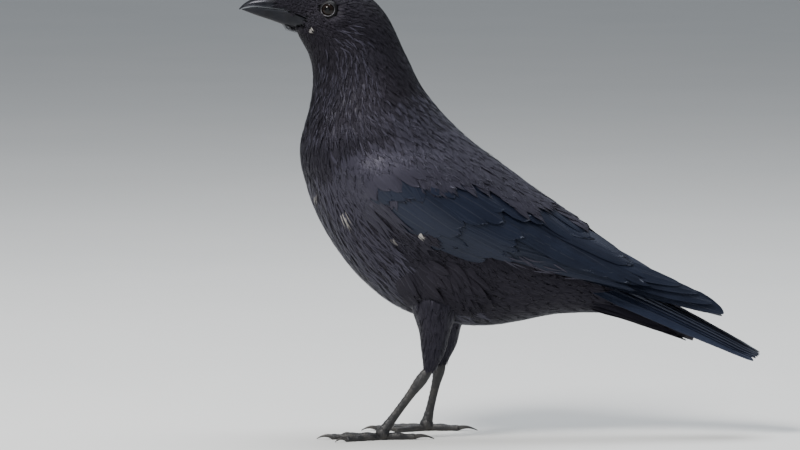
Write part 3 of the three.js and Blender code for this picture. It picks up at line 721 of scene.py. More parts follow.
def shank_point(t, angle, side, grow=0.0):
    """Section t of a shank at angle: an ellipse round an axis that leans up into the body."""
    z, dx, dy, depth, width = np.moveaxis(spline(SHANK, t), -1, 0)
    ax, ay, _ = ANKLE[side]
    return np.stack([ax + dx + np.cos(angle) * (depth + grow),
                     ay + side * dy + np.sin(angle) * (width + grow), z], -1)


COAT_DEPTH = [1.1, 1.1, 1.2, 1.5, 2.0, 2.4, 2.6, 2.8, 2.8, 2.8, 2.8, 2.6, 2.4, 2.0, 1.5, 1.2, 1.0]
SHANK_COAT, ARM_COAT = 1.6, 3.8  # depth of the coat on a shank and on a wing
ARM_THICK, PAST_MIDDLE = 15, 1.0  # the arm's thickness, and how far it may cross the middle
SKIN_VOXEL = 0.0021  # m


def coat_depth(t):
    """Depth of the coat over the flesh at section t."""
    return np.interp(t, np.arange(len(COAT_DEPTH)), COAT_DEPTH)


t, angle = grid(np.linspace(0.25, FLESH_END - 0.1, 90), round_angles(72))
flesh = [body_point(t, angle, -coat_depth(t))]
for _, side in SIDES:
    flesh.append(shank_point(*grid(np.linspace(0, 4.0, 30), round_angles(32)), side, -SHANK_COAT))
    # The arm keeps lower behind the shoulder, where the coat dips between the wings.
    t, v = grid(np.linspace(0.25, 5, 40), np.linspace(0, 1, 20))
    v = lerp(lerp(0.06, 0.20, smoothstep(t, 1, 2.2)), 0.94, v)
    inner = wing_point(t, v[:, ::-1], side, ARM_THICK)
    inner[..., 1] = side * np.maximum(side * inner[..., 1], -PAST_MIDDLE)
    flesh.append(np.concatenate([wing_point(t, v, side, ARM_COAT), inner], 1))
skin = piece("skin", *closed_tubes(flesh), skin_material, "plumage")
remesh = skin.modifiers.new("fuse", "REMESH")
remesh.mode, remesh.voxel_size, remesh.use_smooth_shade = "VOXEL", SKIN_VOXEL, True
smooth = skin.modifiers.new("soften", "SMOOTH")
smooth.factor, smooth.iterations = 0.5, 4
bpy.context.view_layer.update()
evaluated = skin.evaluated_get(bpy.context.evaluated_depsgraph_get())
fused = bpy.data.meshes.new_from_object(evaluated)
skin.modifiers.clear()
skin.data = fused
skin.data.shade_smooth()
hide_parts("head", "neck", "trunk", "undertail", "shank_left", "shank_right",
            "wing_left_arm", "wing_right_arm")
print("skin fused:", len(fused.polygons), "faces")

# %% [markdown]
# ## Bill
# The bill is two horn shells that meet at the mouth line. The upper one has a ridge, the culmen,
# that curves down to the tip, and a sharp lower edge that laps a little over the lower half. A cone
# with subdivision would round that edge off, so each half is an arch raised over the mouth line,
# section by section, and a flat mouth side closes it.

# %% Upper and lower bill: ridge x, z; mouth line x, z; half width
UPPER = [(-149.0, 339.4, -145.5, 321.2, 13.6), (-156.0, 340.4, -153.2, 325.2, 12.0),
         (-170.0, 340.2, -165.0, 329.0, 8.1), (-180.0, 339.4, -178.0, 330.8, 6.7),
         (-189.5, 337.2, -188.5, 331.7, 5.0), (-196.2, 333.6, -195.8, 330.9, 2.9),
         (-200.4, 329.3, -199.6, 328.9, 0.9)]
LOWER = [(-147.0, 311.0, -145.0, 320.6, 13.8), (-154.0, 313.6, -152.6, 324.6, 12.2),
         (-164.0, 316.6, -164.4, 328.4, 8.3), (-175.0, 320.6, -177.5, 330.2, 6.2),
         (-185.0, 324.0, -188.0, 331.1, 4.4), (-193.0, 327.0, -195.0, 330.2, 2.4),
         (-198.0, 329.0, -198.2, 329.6, 0.8)]
MOUTH_GAP = 0.3
BILL_HALVES = {  # rows, sharp, lip, drop
    "upper": (UPPER, 1.0, 0.35, 0), "lower": (LOWER, 1.15, 0.12, MOUTH_GAP)}


def bill_half(rows, sharp, lip, count=76, arch=32):
    """Rings from the face to the tip. Height is the sine of the angle to the power sharp. The wall
    swells by lip just over the mouth line and is hollow above it by a quarter of that. The flat
    mouth side closes each ring. Marks are 1 along the mouth line, and a half towards the tip."""
    t, angle = grid(np.linspace(0, len(rows) - 1, count), np.linspace(0, math.pi, arch + 1))
    ridge_x, ridge_z, mouth_x, mouth_z, half = np.moveaxis(spline(rows, t), -1, 0)
    height = np.maximum(np.sin(angle), 0) ** sharp
    swell = lip * np.exp(-(height / 0.10) ** 2) - 0.25 * lip * np.exp(-((height - 0.28) / 0.12) ** 2)
    y = np.cos(angle) * (half + swell * np.minimum(half / 5, 1))
    arch_points = np.stack([lerp(mouth_x, ridge_x, height), y, lerp(mouth_z, ridge_z, height)], -1)
    floor = np.stack([mouth_x, half * 0, mouth_z], -1)[:, :1]
    flat = [floor + [0, -share, 0] * half[:, :1, None] for share in (0.5, 0.0, -0.5)]
    edge = np.exp(-(height / 0.12) ** 2) * smoothstep(t, 0.9, 3)
    marks = np.clip(edge + 0.5 * smoothstep(t, 4.6, 6), 0, 1)
    return np.concatenate([arch_points] + flat, 1), np.concatenate([marks, np.zeros((count, 3))], 1)


for name, (rows, sharp, lip, drop) in BILL_HALVES.items():
    rings, marks = bill_half(rows, sharp, lip)
    piece(f"bill_{name}_horn", *closed_tubes([rings - [0, 0, drop]]), horn_material, "horn",
          [f"bill_{name}"], marks={"edge": marks})

# %% Set the skin behind the bare base of the lower bill
# There the skin's half width is held within the bill's own section, an ellipse, less a margin.
BEHIND_HORN, LEAST_HALF = 1.0, 3
places = np.empty(len(skin.data.vertices) * 3, np.float32)
skin.data.vertices.foreach_get("co", places)
places = places.reshape(-1, 3) / MM
x, y, z = places.T
ridge_x, ridge_z, mouth_x, mouth_z, half = np.moveaxis(spline(LOWER, np.linspace(0, 2, 40)), -1, 0)
mouth, half = np.interp(x, mouth_x, mouth_z), np.interp(x, mouth_x, half)
down = np.clip((mouth - z) / (mouth - np.interp(x, ridge_x, ridge_z)), 0, 0.95)
limit = np.maximum(half * np.sqrt(1 - down ** 2) - BEHIND_HORN, LEAST_HALF)
bare = smoothstep(-x, 145.5, 149.5) * smoothstep(z, 313.5, 315.5) * (1 - smoothstep(z - mouth, 0.5, 2.5))
places[:, 1] = np.sign(y) * lerp(np.abs(y), np.minimum(np.abs(y), limit), bare)
skin.data.vertices.foreach_set("co", (places * MM).astype(np.float32).ravel())
skin.data.update()
print("skin drawn in at the bill:", int(((bare > 0.5) & (np.abs(y) > limit)).sum()), "points")

# %% [markdown]
# ## Eyes
# Each eye is a ball with a dark brown iris under a clear, wet front, set in a ring of bare lid.
# The lid could be a torus, but a real one is a roll of skin with a rim, so it's a profile carried
# round the eye's axis. Its rim is beaded and painted pale as a highlight, most along the lower
# lid, and its outer edge runs in under the feathers.
# The ball's front bulges where the cornea is.

# %% Eyeballs and lids
EYE = np.array([-131.1, 15.8, 329.6])
EYE_RADIUS, CORNEA_RISE = 6.1, 0.38
# The third column is how much of the rim's painted highlight falls there.
LID = np.array([  # radius from the eye's axis, height along it, and how much of the pale rim
    # From the rim against the ball over the roll, down to the skin and back underneath.
    (4.82, 3.80, 0.6), (4.90, 4.12, 1), (5.16, 4.26, 0.8), (5.50, 4.10, 0.05), (5.90, 3.80, 0),
    (6.35, 3.30, 0.06), (6.9, 2.5, 0), (7.5, 1.4, 0), (7.0, 0.4, 0), (6.35, 0.7, 0), (6.2, 2.0, 0),
    (5.4, 3.2, 0.2)])
LID_ROWS, LID_AROUND = 36, 96


def eye_axes(side):
    """The line the eye looks along, a little forward and up, and two lines across it."""
    look = unit(np.array([-0.16, side * 0.98, 0.06]))
    back = unit(np.cross(look, [0, 0, 1.0]))
    return look, back, np.cross(back, look)


def turned(side, radius, height, count):
    """Profile points (radius from the axis, height along it) carried round the eye's axis."""
    look, back, up = eye_axes(side)
    angle = round_angles(count)
    ring = np.cos(angle)[:, None] * back + np.sin(angle)[:, None] * up
    centre = EYE * [1, side, 1]
    return centre + radius[..., None] * ring + height[..., None] * look


def eyeball(word, side, rows=40, columns=48):
    """A ball whose radius grows in front, and a mark of 1 on the ring of the iris."""
    theta, _ = grid(np.linspace(0.02, math.pi - 0.02, rows), np.zeros(columns))
    radius = EYE_RADIUS + CORNEA_RISE * (1 - smoothstep(theta, 0.25, 0.75))
    ball = turned(side, radius * np.sin(theta), radius * np.cos(theta), columns)
    iris = smoothstep(theta, 0.34, 0.42) * (1 - smoothstep(theta, 0.74, 0.84))
    piece(f"eyeball_{word}", *closed_tubes([ball]), eye_material, "eye", [f"eye_{word}"],
          marks={"iris": iris})


def eyelid(word, side):
    """The profile LID as a smooth loop, carried round the eye. The opening is a little longer fore
    and aft, slopes down towards the bill, and has fine notches and soft folds."""
    t = np.linspace(0, len(LID), LID_ROWS, endpoint=False)
    looped = np.concatenate([LID[-1:], LID, LID[:2]])[:, :2]
    across, rise = spline(looped, t + 1).T[..., None]
    angle = round_angles(LID_AROUND)
    oval = 1 + 0.035 * np.cos(2 * (angle + 0.25)) + 0.004 * np.sin(angle * 44)
    radius = across * (1 + (oval - 1) * np.clip(1.6 - (across - 4.8) / 2, 0.3, 1))
    fold = 0.10 * np.sin(across * 5.2) * (0.6 + 0.4 * np.sin(angle * 3 + 1))
    height = rise + fold * smoothstep(across, 4.6, 5.4)
    flat = turned(side, radius, height, LID_AROUND).reshape(-1, 3)
    row, column = np.arange(LID_ROWS)[:, None] * LID_AROUND, np.arange(LID_AROUND)[None, :]
    below, beside = (row + LID_AROUND) % len(flat), (column + 1) % LID_AROUND
    faces = [np.stack([row + column, row + beside, below + beside, below + column], -1).reshape(-1, 4)]
    rim_highlight = np.interp(t, np.arange(len(LID) + 1), np.append(LID[:, 2], LID[0, 2]))
    # The rim's painted highlight is strongest along the lower lid, and broken into beads.
    lower_lid_highlight = lerp(0.25, 1.0, smoothstep(-np.sin(angle), -0.3, 0.5)) * (0.60 + 0.40 * np.sin(angle * 24))
    piece(f"eyelid_{word}", flat, outward(flat - flat.mean(0), faces), lid_material, "scaled_skin",
          marks={"rim": np.outer(rim_highlight, lower_lid_highlight)})


for word, side in SIDES:
    eyeball(word, side)
    eyelid(word, side)

# %% [markdown]
# ## Feet
# Below the feathered shank the leg is bare and scaly. The front of the tarsus and the top of each
# toe carry broad plates one under the other, like roof tiles, and the sides and pads are covered
# with small beads. The plates are in the mesh as a saw-tooth swelling, because they show in the
# outline, and the beads are in the bump, because thousands of them would only cost triangles.

# %% Tarsus, hub and toes
TARSUS = [(3.2, 3.0), (4.3, 3.6), (3.3, 2.5), (3.0, 2.3), (3.2, 2.6), (4.2, 3.9)]  # half depth and width
TOES = [(176, 22, 3.4, 2, 15), (30, 25, 3.1, 2, 11), (3, 36, 3.3, 3, 12), (-27, 28, 3.0, 3, 10)]
# heading in degrees, length, radius, joints, length of the claw
PLATE_ON_LEG, PLATE_ON_TOE = (4.3, 0.34), (2.3, 0.22)  # spacing and height
HUB, SINK, TAPER, SWELL = 5.4, 0.6, 0.72, 0.12
CLAW_RISE, CLAW_POINT = 1.6, 0.45
UP = np.array([0, 0, 1])


def about(centre, angle, first, first_radius, second, second_radius):
    """Ellipses about a centre line: first times the cosine, plus second times the sine."""
    return (centre + (np.cos(angle) * first_radius)[..., None] * first
            + (np.sin(angle) * second_radius)[..., None] * second)


def on_floor(rings):
    """Rings flattened where they would pass below the floor."""
    rings[..., 2] = np.maximum(rings[..., 2], 0)
    return rings


def plates(run, spacing, facing):
    """A saw tooth along run, in mm: each plate rises to its lower edge and drops to the next.
    facing is 1 on the plated side and 0 on the beaded one."""
    tooth = (run / spacing) % 1.0
    return (tooth ** 1.5 - 0.4) * facing, smoothstep(tooth, 0, 0.12) * (1 - smoothstep(tooth, 0.93, 1.0))


def tarsus_rings(side, rows=110, columns=28):
    """Ellipses carried from the ankle to the hub, pinched behind into a keel."""
    top, foot = np.array(ANKLE[side], float), np.array(FOOT[side], float)
    along = unit(foot - top)
    across = np.array([0, 1.0, 0])
    fore = np.cross(across, along)
    share, angle = np.linspace(-0.10, 1, rows)[:, None], round_angles(columns)[None, :]
    depth, width = np.moveaxis(spline(TARSUS, share * 5), -1, 0)
    facing = smoothstep(-np.cos(angle) * np.sign(fore[0]), -0.1, 0.35)
    run = share * np.linalg.norm(foot - top) + 0 * angle
    spacing, high = PLATE_ON_LEG
    step, groove = plates(run, spacing, facing)
    out = high * step * smoothstep(share, 0.02, 0.12)
    keel = 1 + 0.10 * (1 - facing) * np.cos(angle) ** 2
    centre = top + share[..., None] * (foot - top)
    rings = about(centre, angle, fore, depth * keel + out, across, width + out)
    return rings, lerp(0.55, groove, facing)


def toe_rings(side, toe, rows=76, columns=20):
    """A tapering tube in the upright plane of the toe's heading, swollen at its joints below."""
    heading, length, radius, joints, _ = toe
    bearing = math.radians(heading) * -side
    ahead = np.array([-math.cos(bearing), math.sin(bearing), 0])
    across = np.array([-ahead[1], ahead[0], 0])
    reach = length + HUB * 0.5
    share, angle = np.linspace(0, 1.03, rows)[:, None], round_angles(columns)[None, :]
    thin = radius * lerp(1, TAPER, share)
    pads = 1 + SWELL * np.cos(share * joints * math.tau)
    facing = smoothstep(np.sin(angle), 0.0, 0.5)
    spacing, high = PLATE_ON_TOE
    step, groove = plates(share * reach + 0 * angle, spacing, facing)
    out = thin * pads * (1 - 0.5 * smoothstep(share, 0.985, 1.03)) + high * step
    start = np.array([FOOT[side][0], FOOT[side][1], 0])
    centre = start + (share * reach)[..., None] * ahead + (thin - SINK)[..., None] * UP
    rings = on_floor(about(centre, angle, across, out, UP, out))
    return rings, lerp(0.5, groove, facing), (start, ahead, across, reach, thin[-1, 0])


def claw_rings(base, claw, rows=26, columns=16):
    """A curved cone, deeper than wide, from the toe's end to the point."""
    start, ahead, across, reach, thin = base
    share, angle = np.linspace(-0.14, 1, rows)[:, None], round_angles(columns)[None, :]
    root = thin * 0.86
    open_share = np.clip(share, 0, 1)
    radius = lerp(root, CLAW_POINT * 0.75, open_share ** 0.8)
    height = lerp(root, CLAW_POINT, open_share) + CLAW_RISE * np.sin(open_share * math.pi)
    centre = start + (reach + share * claw)[..., None] * ahead + height[..., None] * UP
    return on_floor(about(centre, angle, across, radius * 0.8, UP, radius * 1.05))


def ball_rings(centre, radius, rows=18, columns=28):
    """A ball as rings from its top down, with a small flat at both poles."""
    down, angle = grid(np.linspace(0.06, math.pi - 0.06, rows), round_angles(columns))
    rings = np.stack([np.sin(down) * np.cos(angle), np.sin(down) * np.sin(angle), np.cos(down)], -1)
    rings = on_floor(np.array(centre) + radius * rings)
    return rings, np.full(rings.shape[:2], 0.5)


for word, side in SIDES:
    made = [tarsus_rings(side), ball_rings((FOOT[side][0], FOOT[side][1], HUB - SINK), HUB)]
    claws = []
    for toe in TOES:
        *toe_made, base = toe_rings(side, toe)
        made.append(toe_made)
        claws.append(claw_rings(base, toe[4]))
    piece(f"foot_{word}", *closed_tubes([rings for rings, _ in made]), scale_material, "scaled_skin",
          [f"tarsus_{word}"] + [f"toe_{word}_{n}" for n in (1, 2, 3, 4)],
          marks={"scute": np.concatenate([scute.ravel() for _, scute in made])})
    piece(f"claws_{word}", *closed_tubes(claws), claw_material, "horn",
          [f"claw_{word}_{n}" for n in (1, 2, 3, 4)])

# %% [markdown]
# ## Flight feathers
# A flight feather is a stiff shaft with a vane on each side, and the vane on the leading side is
# the narrower one. Each is a closed blade: a curve for the shaft, a width that opens from the quill
# and rounds off at the tip, and a cross section with the shaft as a raised line. A flat card with
# a feather's outline in its picture would do for a game, but its edge isn't real. Here the wide
# web's edge is nicked here and there, as the barbs of a worn feather part from each other.

# %% Blades
BLADE_ROWS = 34
BLADE_ACROSS = np.array([-1, -0.8, -0.55, -0.3, -0.12, -0.035, 0.035, 0.12, 0.3, 0.55, 0.8, 1])


def blades(roots, tips, root_across, tip_across, narrow, wide, sag, lead, points, seeds):
    """Closed blades as an array (feathers, rows, ring, 3). The shaft is a quadratic curve from root
    to tip that hangs by sag, and the vane's direction turns from root_across to tip_across. lead is
    +1 where the narrow web is on the positive side. Each web closes at the tip as the square root
    of what is left of the length over its own share in points, which holds one or n shares. Rows
    crowd towards the tip as 1 - (1 - k)^1.5. ripple is uneven along each blade, and nicks the wide
    web's edge where it's strong."""
    share = 1 - (1 - np.linspace(0, 1, BLADE_ROWS)) ** 1.5
    f = share[None, :, None]
    roots, tips = roots[:, None], tips[:, None]
    along = unit(tips - roots)
    middle = lerp(roots, tips, 0.5) - 2 * sag * UP
    shaft_line = (1 - f) ** 2 * roots + 2 * f * (1 - f) * middle + f ** 2 * tips
    across = lerp(root_across[:, None], tip_across[:, None], f)
    normal = unit(np.cross(across, along))
    side = np.cross(along, normal)
    opening = np.minimum(1, lerp(0.4, 1, share / 0.25))[None, :]
    left = [(1 - share) / np.broadcast_to(part, len(seeds))[:, None] for part in points]
    close = [np.sqrt(np.clip(part, 0.004, 1)) for part in left]
    x = BLADE_ACROSS[None, None, :]
    web = np.where(x * lead > 0, (narrow[:, None] * opening * close[0])[..., None],
                   (wide[:, None] * opening * close[1])[..., None])
    knots = np.linspace(0, 1, 26)
    throws = [np.random.default_rng(int(seed)).normal(0, 1, len(knots)) for seed in seeds]
    ripple = np.stack([np.interp(share, knots, throw) for throw in throws])
    nick = np.clip(np.abs(ripple) - 1.35, 0, 1) * smoothstep(share, 0.4, 0.7)
    trailing = x * lead < -0.9
    reach = x * web * (1 - trailing * (0.07 * nick + 0.012 * ripple)[..., None])
    shaft = np.exp(-(x / 0.05) ** 2) * (0.34 * (1 - 0.75 * share))[None, :, None]
    camber = -0.35 / 60 * reach ** 2
    wave = 0.06 * ripple[..., None] * np.abs(x)
    top = shaft_line[:, :, None] + reach[..., None] * side[:, :, None]
    lift = (camber + shaft + wave)[..., None] * normal[:, :, None]
    thick = (0.13 + 0.13 * np.exp(-(x / 0.3) ** 2))[..., None] * normal[:, :, None]
    upper, lower = top + lift + thick, top + lift * 0.8 - thick
    rings = np.concatenate([upper, lower[:, :, ::-1]], 2)
    vane = np.concatenate([(x + 1) / 2, (x[..., ::-1] + 1) / 2], 2) + 0 * rings[..., 0]
    uv = np.stack([vane, f + 0 * vane], -1)
    return rings, uv


def rim_of(*shape):
    """True at both edges and both ends of each vane in an array (vanes, rows, .., columns)."""
    rim = np.zeros(shape, bool)
    rim[..., [0, -1]] = rim[:, [0, -1]] = True
    return rim


def blade_piece(name, rings, uv, replaces, tones, plume="flight_plumage"):
    """One piece from the arrays of blades(), with both edges and both ends kept sharp."""
    count, rows, columns = rings.shape[:3]
    points = rings.reshape(-1, 3)
    faces = outward(points, ring_faces(count, rows, columns))
    marks = {"tone": np.repeat(tones, rows * columns), "pale": np.zeros(len(points))}
    return piece(name, points, faces, plumage[plume], "flight_feather", replaces,
                 uvs={"Vane": uv.reshape(-1, 2)}, marks=marks, rim=rim_of(count, rows, 2, columns // 2))


# %% Tail: twelve blades, the middle pair on top
# The closed tail is a roof: each outer blade is a step down its slope, and leans more than the last.
TAIL_COUNT, TAIL_SAG, TAIL_ROUNDING = 6, -2.0, 0.0016
TAIL_ENDS = {  # place of the middle blade, steps between blades, and how each one leans
    "root": ((58, 2.5, 137), (0, 3.4, 3.4, 3.8, 4.4, 5.0), (0.25, 0.50, 0.75, 0.95, 1.10, 1.20)),
    "tip": ((200.6, 4.0, 64.0), (0, 3.0, 3.0, 3.0, 3.2, 3.8), (0.05, 0.12, 0.20, 0.31, 0.46, 0.72)),
}
TAIL_STACK = 0.45
TAIL_POINTS = np.array([(0.09, 0.09, 0.09, 0.10, 0.15, 0.42), (0.10, 0.10, 0.10, 0.10, 0.12, 0.20)])
TAIL_WEBS = np.array([(7.5, 5, 5, 4.5, 3.0, 6.0), (9.5, 10, 10, 10, 10, 9.5)])  # outer and inner web
# The two outer blades have high tones: painted lighter, as the highlight on the tail's lit side.
TAIL_TONE_AND_HIGHLIGHT = np.array([0.1, 0.15, 0.2, 0.25, 0.45, 0.9])
# The middle pair crosses over: the left one lies on the right one.
CROSS_OVER, CROSS_HEIGHT, MIDDLE_GAP = {"root": 1.5, "tip": 3.2}, {-1: 0.7, 1: -0.2}, 0.12
n = np.arange(TAIL_COUNT)
for word, side in SIDES:
    ends, across = {}, {}
    for end, ((x, y, z), steps, leans) in TAIL_ENDS.items():
        leans = np.array(leans)
        middle = leans - np.diff(leans, prepend=leans[:1]) / 2
        out = y + np.cumsum(steps * np.cos(middle) - TAIL_STACK * np.sin(middle) * (n > 0))
        down = z - np.cumsum(steps * np.sin(middle) + TAIL_STACK * np.cos(middle) * (n > 0))
        ends[end] = np.stack([x + 0 * n, side * out, down], -1)
        across[end] = np.stack([0 * n, side * np.cos(leans), -np.sin(leans)], -1)
    for end, shift in CROSS_OVER.items():
        ends[end][0] += [0, -side * shift, CROSS_HEIGHT[side]]
    tips = lerp(ends["tip"], ends["root"], (TAIL_ROUNDING * n * n)[:, None])
    rings, uv = blades(ends["root"], tips, across["root"], across["tip"], *TAIL_WEBS, TAIL_SAG, 1,
                       TAIL_POINTS, 300 + 10 * side + n)
    rings[1:, ..., 1] = side * np.maximum(side * rings[1:, ..., 1], MIDDLE_GAP)
    blade_piece(f"tail_feathers_{word}", rings, uv, [f"tail_{word}_{k + 1}" for k in n], TAIL_TONE_AND_HIGHLIGHT)

# %% Undertail coverts: five soft blades a side that hang under the tail
UNDERTAIL = np.array([  # root x, y, z, tip x, y, z, lean
    (62, 1.5, 100.5, 144, 1.2, 73.6, 0.2), (62, 4.5, 101, 141.5, 3.6, 75.2, 0.5),
    (62, 7.5, 102.5, 137, 6, 78.0, 0.8), (62, 10, 105, 130, 8, 82.0, 1.0),
    (62, 12, 108.5, 122, 9.5, 87.0, 1.15)])
UNDERTAIL_WEB, UNDERTAIL_SAG, UNDERTAIL_POINT, UNDERTAIL_TONE = 5.2, -3.2, 0.35, 0.45
lean = UNDERTAIL[:, 6]
wide = np.full(len(lean), UNDERTAIL_WEB)
for word, side in SIDES:
    mirror = np.array([1, side, 1])
    across = np.stack([0 * lean, side * np.cos(lean), -np.sin(lean)], -1)
    seeds = 400 + 10 * side + np.arange(len(lean))
    rings, uv = blades(UNDERTAIL[:, :3] * mirror, UNDERTAIL[:, 3:6] * mirror, across, across, wide, wide,
                       UNDERTAIL_SAG, 1, (UNDERTAIL_POINT, UNDERTAIL_POINT), seeds)
    tones = np.full(len(lean), UNDERTAIL_TONE)
    blade_piece(f"undertail_coverts_{word}", rings, uv, (), tones, "body_plumage")

# %% Primaries: five blades that reach past the panel on each wing
PRIMARIES = [  # root, tip, narrow and wide web, and the share over which the wide web closes
    ((30, 23.5, 155), (139, 16, 118.5), 7, 5.5, 0.3), ((30, 23.5, 151), (152, 16, 112.5), 7, 6, 0.3),
    ((30, 23.5, 147), (163.5, 16, 105.0), 7, 6, 0.3), ((30, 23.5, 142.5), (172.3, 15.5, 97), 4.5, 12.0, 0.15),
    ((30, 23.5, 138), (160.5, 15, 101.0), 4.0, 9, 0.35)]
PRIMARY_STEP, PRIMARY_SAG, NARROW_CLOSE = 1.3, 0.5, 0.25
LEAN = {-1: (0.55, 0.45), 1: (0.75, 1.2)}  # at root and tip
n = np.arange(len(PRIMARIES))
for word, side in SIDES:
    ends, across = [], []
    for end, lean in enumerate(LEAN[side]):
        place = np.array([p[end] for p in PRIMARIES], float)
        place[:, 1] = side * (place[:, 1] - n * PRIMARY_STEP * math.cos(lean))
        place[:, 2] -= n * PRIMARY_STEP * math.sin(lean) + (1 - 0.65 * end) * droop(side, place[:, 0])
        ends.append(place)
        across.append(np.tile([0.35, -side * math.sin(lean), math.cos(lean)], (len(n), 1)))
    narrow, wide, close = np.array([p[2:] for p in PRIMARIES], float).T
    seeds = 500 + 10 * side + n
    rings, uv = blades(*ends, *across, narrow, wide, PRIMARY_SAG, -1, (NARROW_CLOSE, close), seeds)
    tones = np.random.default_rng(57 + side).uniform(0.0, 0.2, len(n))
    blade_piece(f"primaries_{word}", rings, uv, [f"primary_{word}_{k + 1}" for k in n], tones)

# %% [markdown]
# ## How the coat is laid
# Small feathers overlap like tiles: each root is covered by the tips of the feathers before it.
# Roots are scattered evenly, closer where the feathers are smaller. From each root a midline is
# walked over the surface along the lie of the coat. Then a vane is spread across that line, low
# at its root and high at its tip, so that it lies over the ones behind it. Hair curves would be
# quicker to set up, but they aren't mesh.

# %% Scatter roots over a surface
STEP_U, STEP_V = 0.7548776662466927, 0.5698402909980532  # shares whose multiples never bunch up
SHAKE = 0.24


def scatter(surface, spacing, wanted, start):
    """Roots as u and v. Cells of the grid weigh their area over the square of spacing(u), and an
    even sequence of pairs is mapped through the running sums of those weights. A random shake, of
    SHAKE times the spacing, keeps the roots from lining up."""
    rows, columns = surface.points.shape[:2]
    u, v = grid(*((np.arange(n - 1) + 0.5) / (n - 1) for n in (rows, columns)))
    weight = surface.areas() * wanted(surface.at(u, v)[0], u, v) / spacing(u) ** 2
    count = int(weight.sum())
    k = np.arange(count) + start
    first, second = (0.5 + k * STEP_U) % 1, (0.5 + k * STEP_V) % 1
    row_sum = np.concatenate([[0], np.cumsum(weight.sum(1))]) / weight.sum()
    u_pick = np.interp(first, row_sum, np.linspace(0, 1, rows))
    i = np.clip((u_pick * (rows - 1)).astype(int), 0, rows - 2)
    cell_sum = np.cumsum(weight, axis=1) / np.maximum(weight.sum(1, keepdims=True), 1e-12)
    cell_sum = np.concatenate([np.zeros((rows - 1, 1)), cell_sum], 1)
    j = np.clip((cell_sum[i] <= second[:, None]).sum(1) - 1, 0, columns - 2)
    low, high = cell_sum[i, j], cell_sum[i, j + 1]
    v_pick = (j + (second - low) / np.maximum(high - low, 1e-12)) / (columns - 1)
    _, along, across, _ = surface.at(u_pick, v_pick)
    shake = np.random.default_rng(int(start) + 17).normal(0, SHAKE, (2, count)) * spacing(u_pick)
    u_pick = u_pick + shake[0] / np.linalg.norm(along, axis=-1)
    v_pick = v_pick + shake[1] / np.linalg.norm(across, axis=-1)
    return np.clip(u_pick, 0, 1), v_pick


# %% Walk midlines over a surface


def dot(a, b):
    """Dot products of vectors, one for each place in the arrays."""
    return np.einsum("...i,...i->...", a, b)


def stepped(along, across, direction):
    """How u and v change for one millimetre along a direction that lies in the surface: the two
    equations of the surface's own measure, solved for both."""
    ee, ef, ff = dot(along, along), dot(along, across), dot(across, across)
    a, b = dot(along, direction), dot(across, direction)
    det = np.maximum(ee * ff - ef * ef, 1e-9)
    return (ff * a - ef * b) / det, (ee * b - ef * a) / det


def walked(surface, u, v, length, lie, shares, yaw, curl):
    """u, v and direction of each midline at the given shares of its length, as (feathers, rows).
    yaw turns the whole feather off the lie, and curl turns it more towards its tip, in radians."""
    steps = []
    for share, run in zip(shares, np.diff(shares, append=shares[-1])):
        point, along, across, normal = surface.at(u, v)
        way = lie(point, along)
        way = unit(way - dot(way, normal)[:, None] * normal)
        angle = (yaw + curl * share)[:, None]
        way = np.cos(angle) * way + np.sin(angle) * np.cross(normal, way)
        steps.append((u, v, way))
        du, dv = stepped(along, across, way)
        u, v = u + du * (length * run), v + dv * (length * run)
    return [np.stack(column, 1) for column in zip(*steps)]


# %% Spread vanes across the midlines
SHAPES = {  # width at shares of the length, as a part of the full width
    "round": ([0, 0.2, 0.45, 0.7, 0.86, 0.95, 1.0], [0.35, 0.72, 1.0, 0.97, 0.74, 0.46, 0.04]),
    "oval": ([0, 0.2, 0.45, 0.7, 0.86, 0.95, 1.0], [0.35, 0.75, 1.0, 0.83, 0.52, 0.26, 0.05]),
    "lance": ([0, 0.15, 0.35, 0.6, 0.8, 0.92, 1.0], [0.5, 0.9, 1.0, 0.78, 0.46, 0.22, 0.05]),
    "broad": ([0, 0.1, 0.3, 0.8, 0.92, 0.975, 1.0], [0.5, 0.85, 1.0, 0.98, 0.74, 0.42, 0.03]),
}
PATCH = 0.003  # side of each feather's patch on the bake map


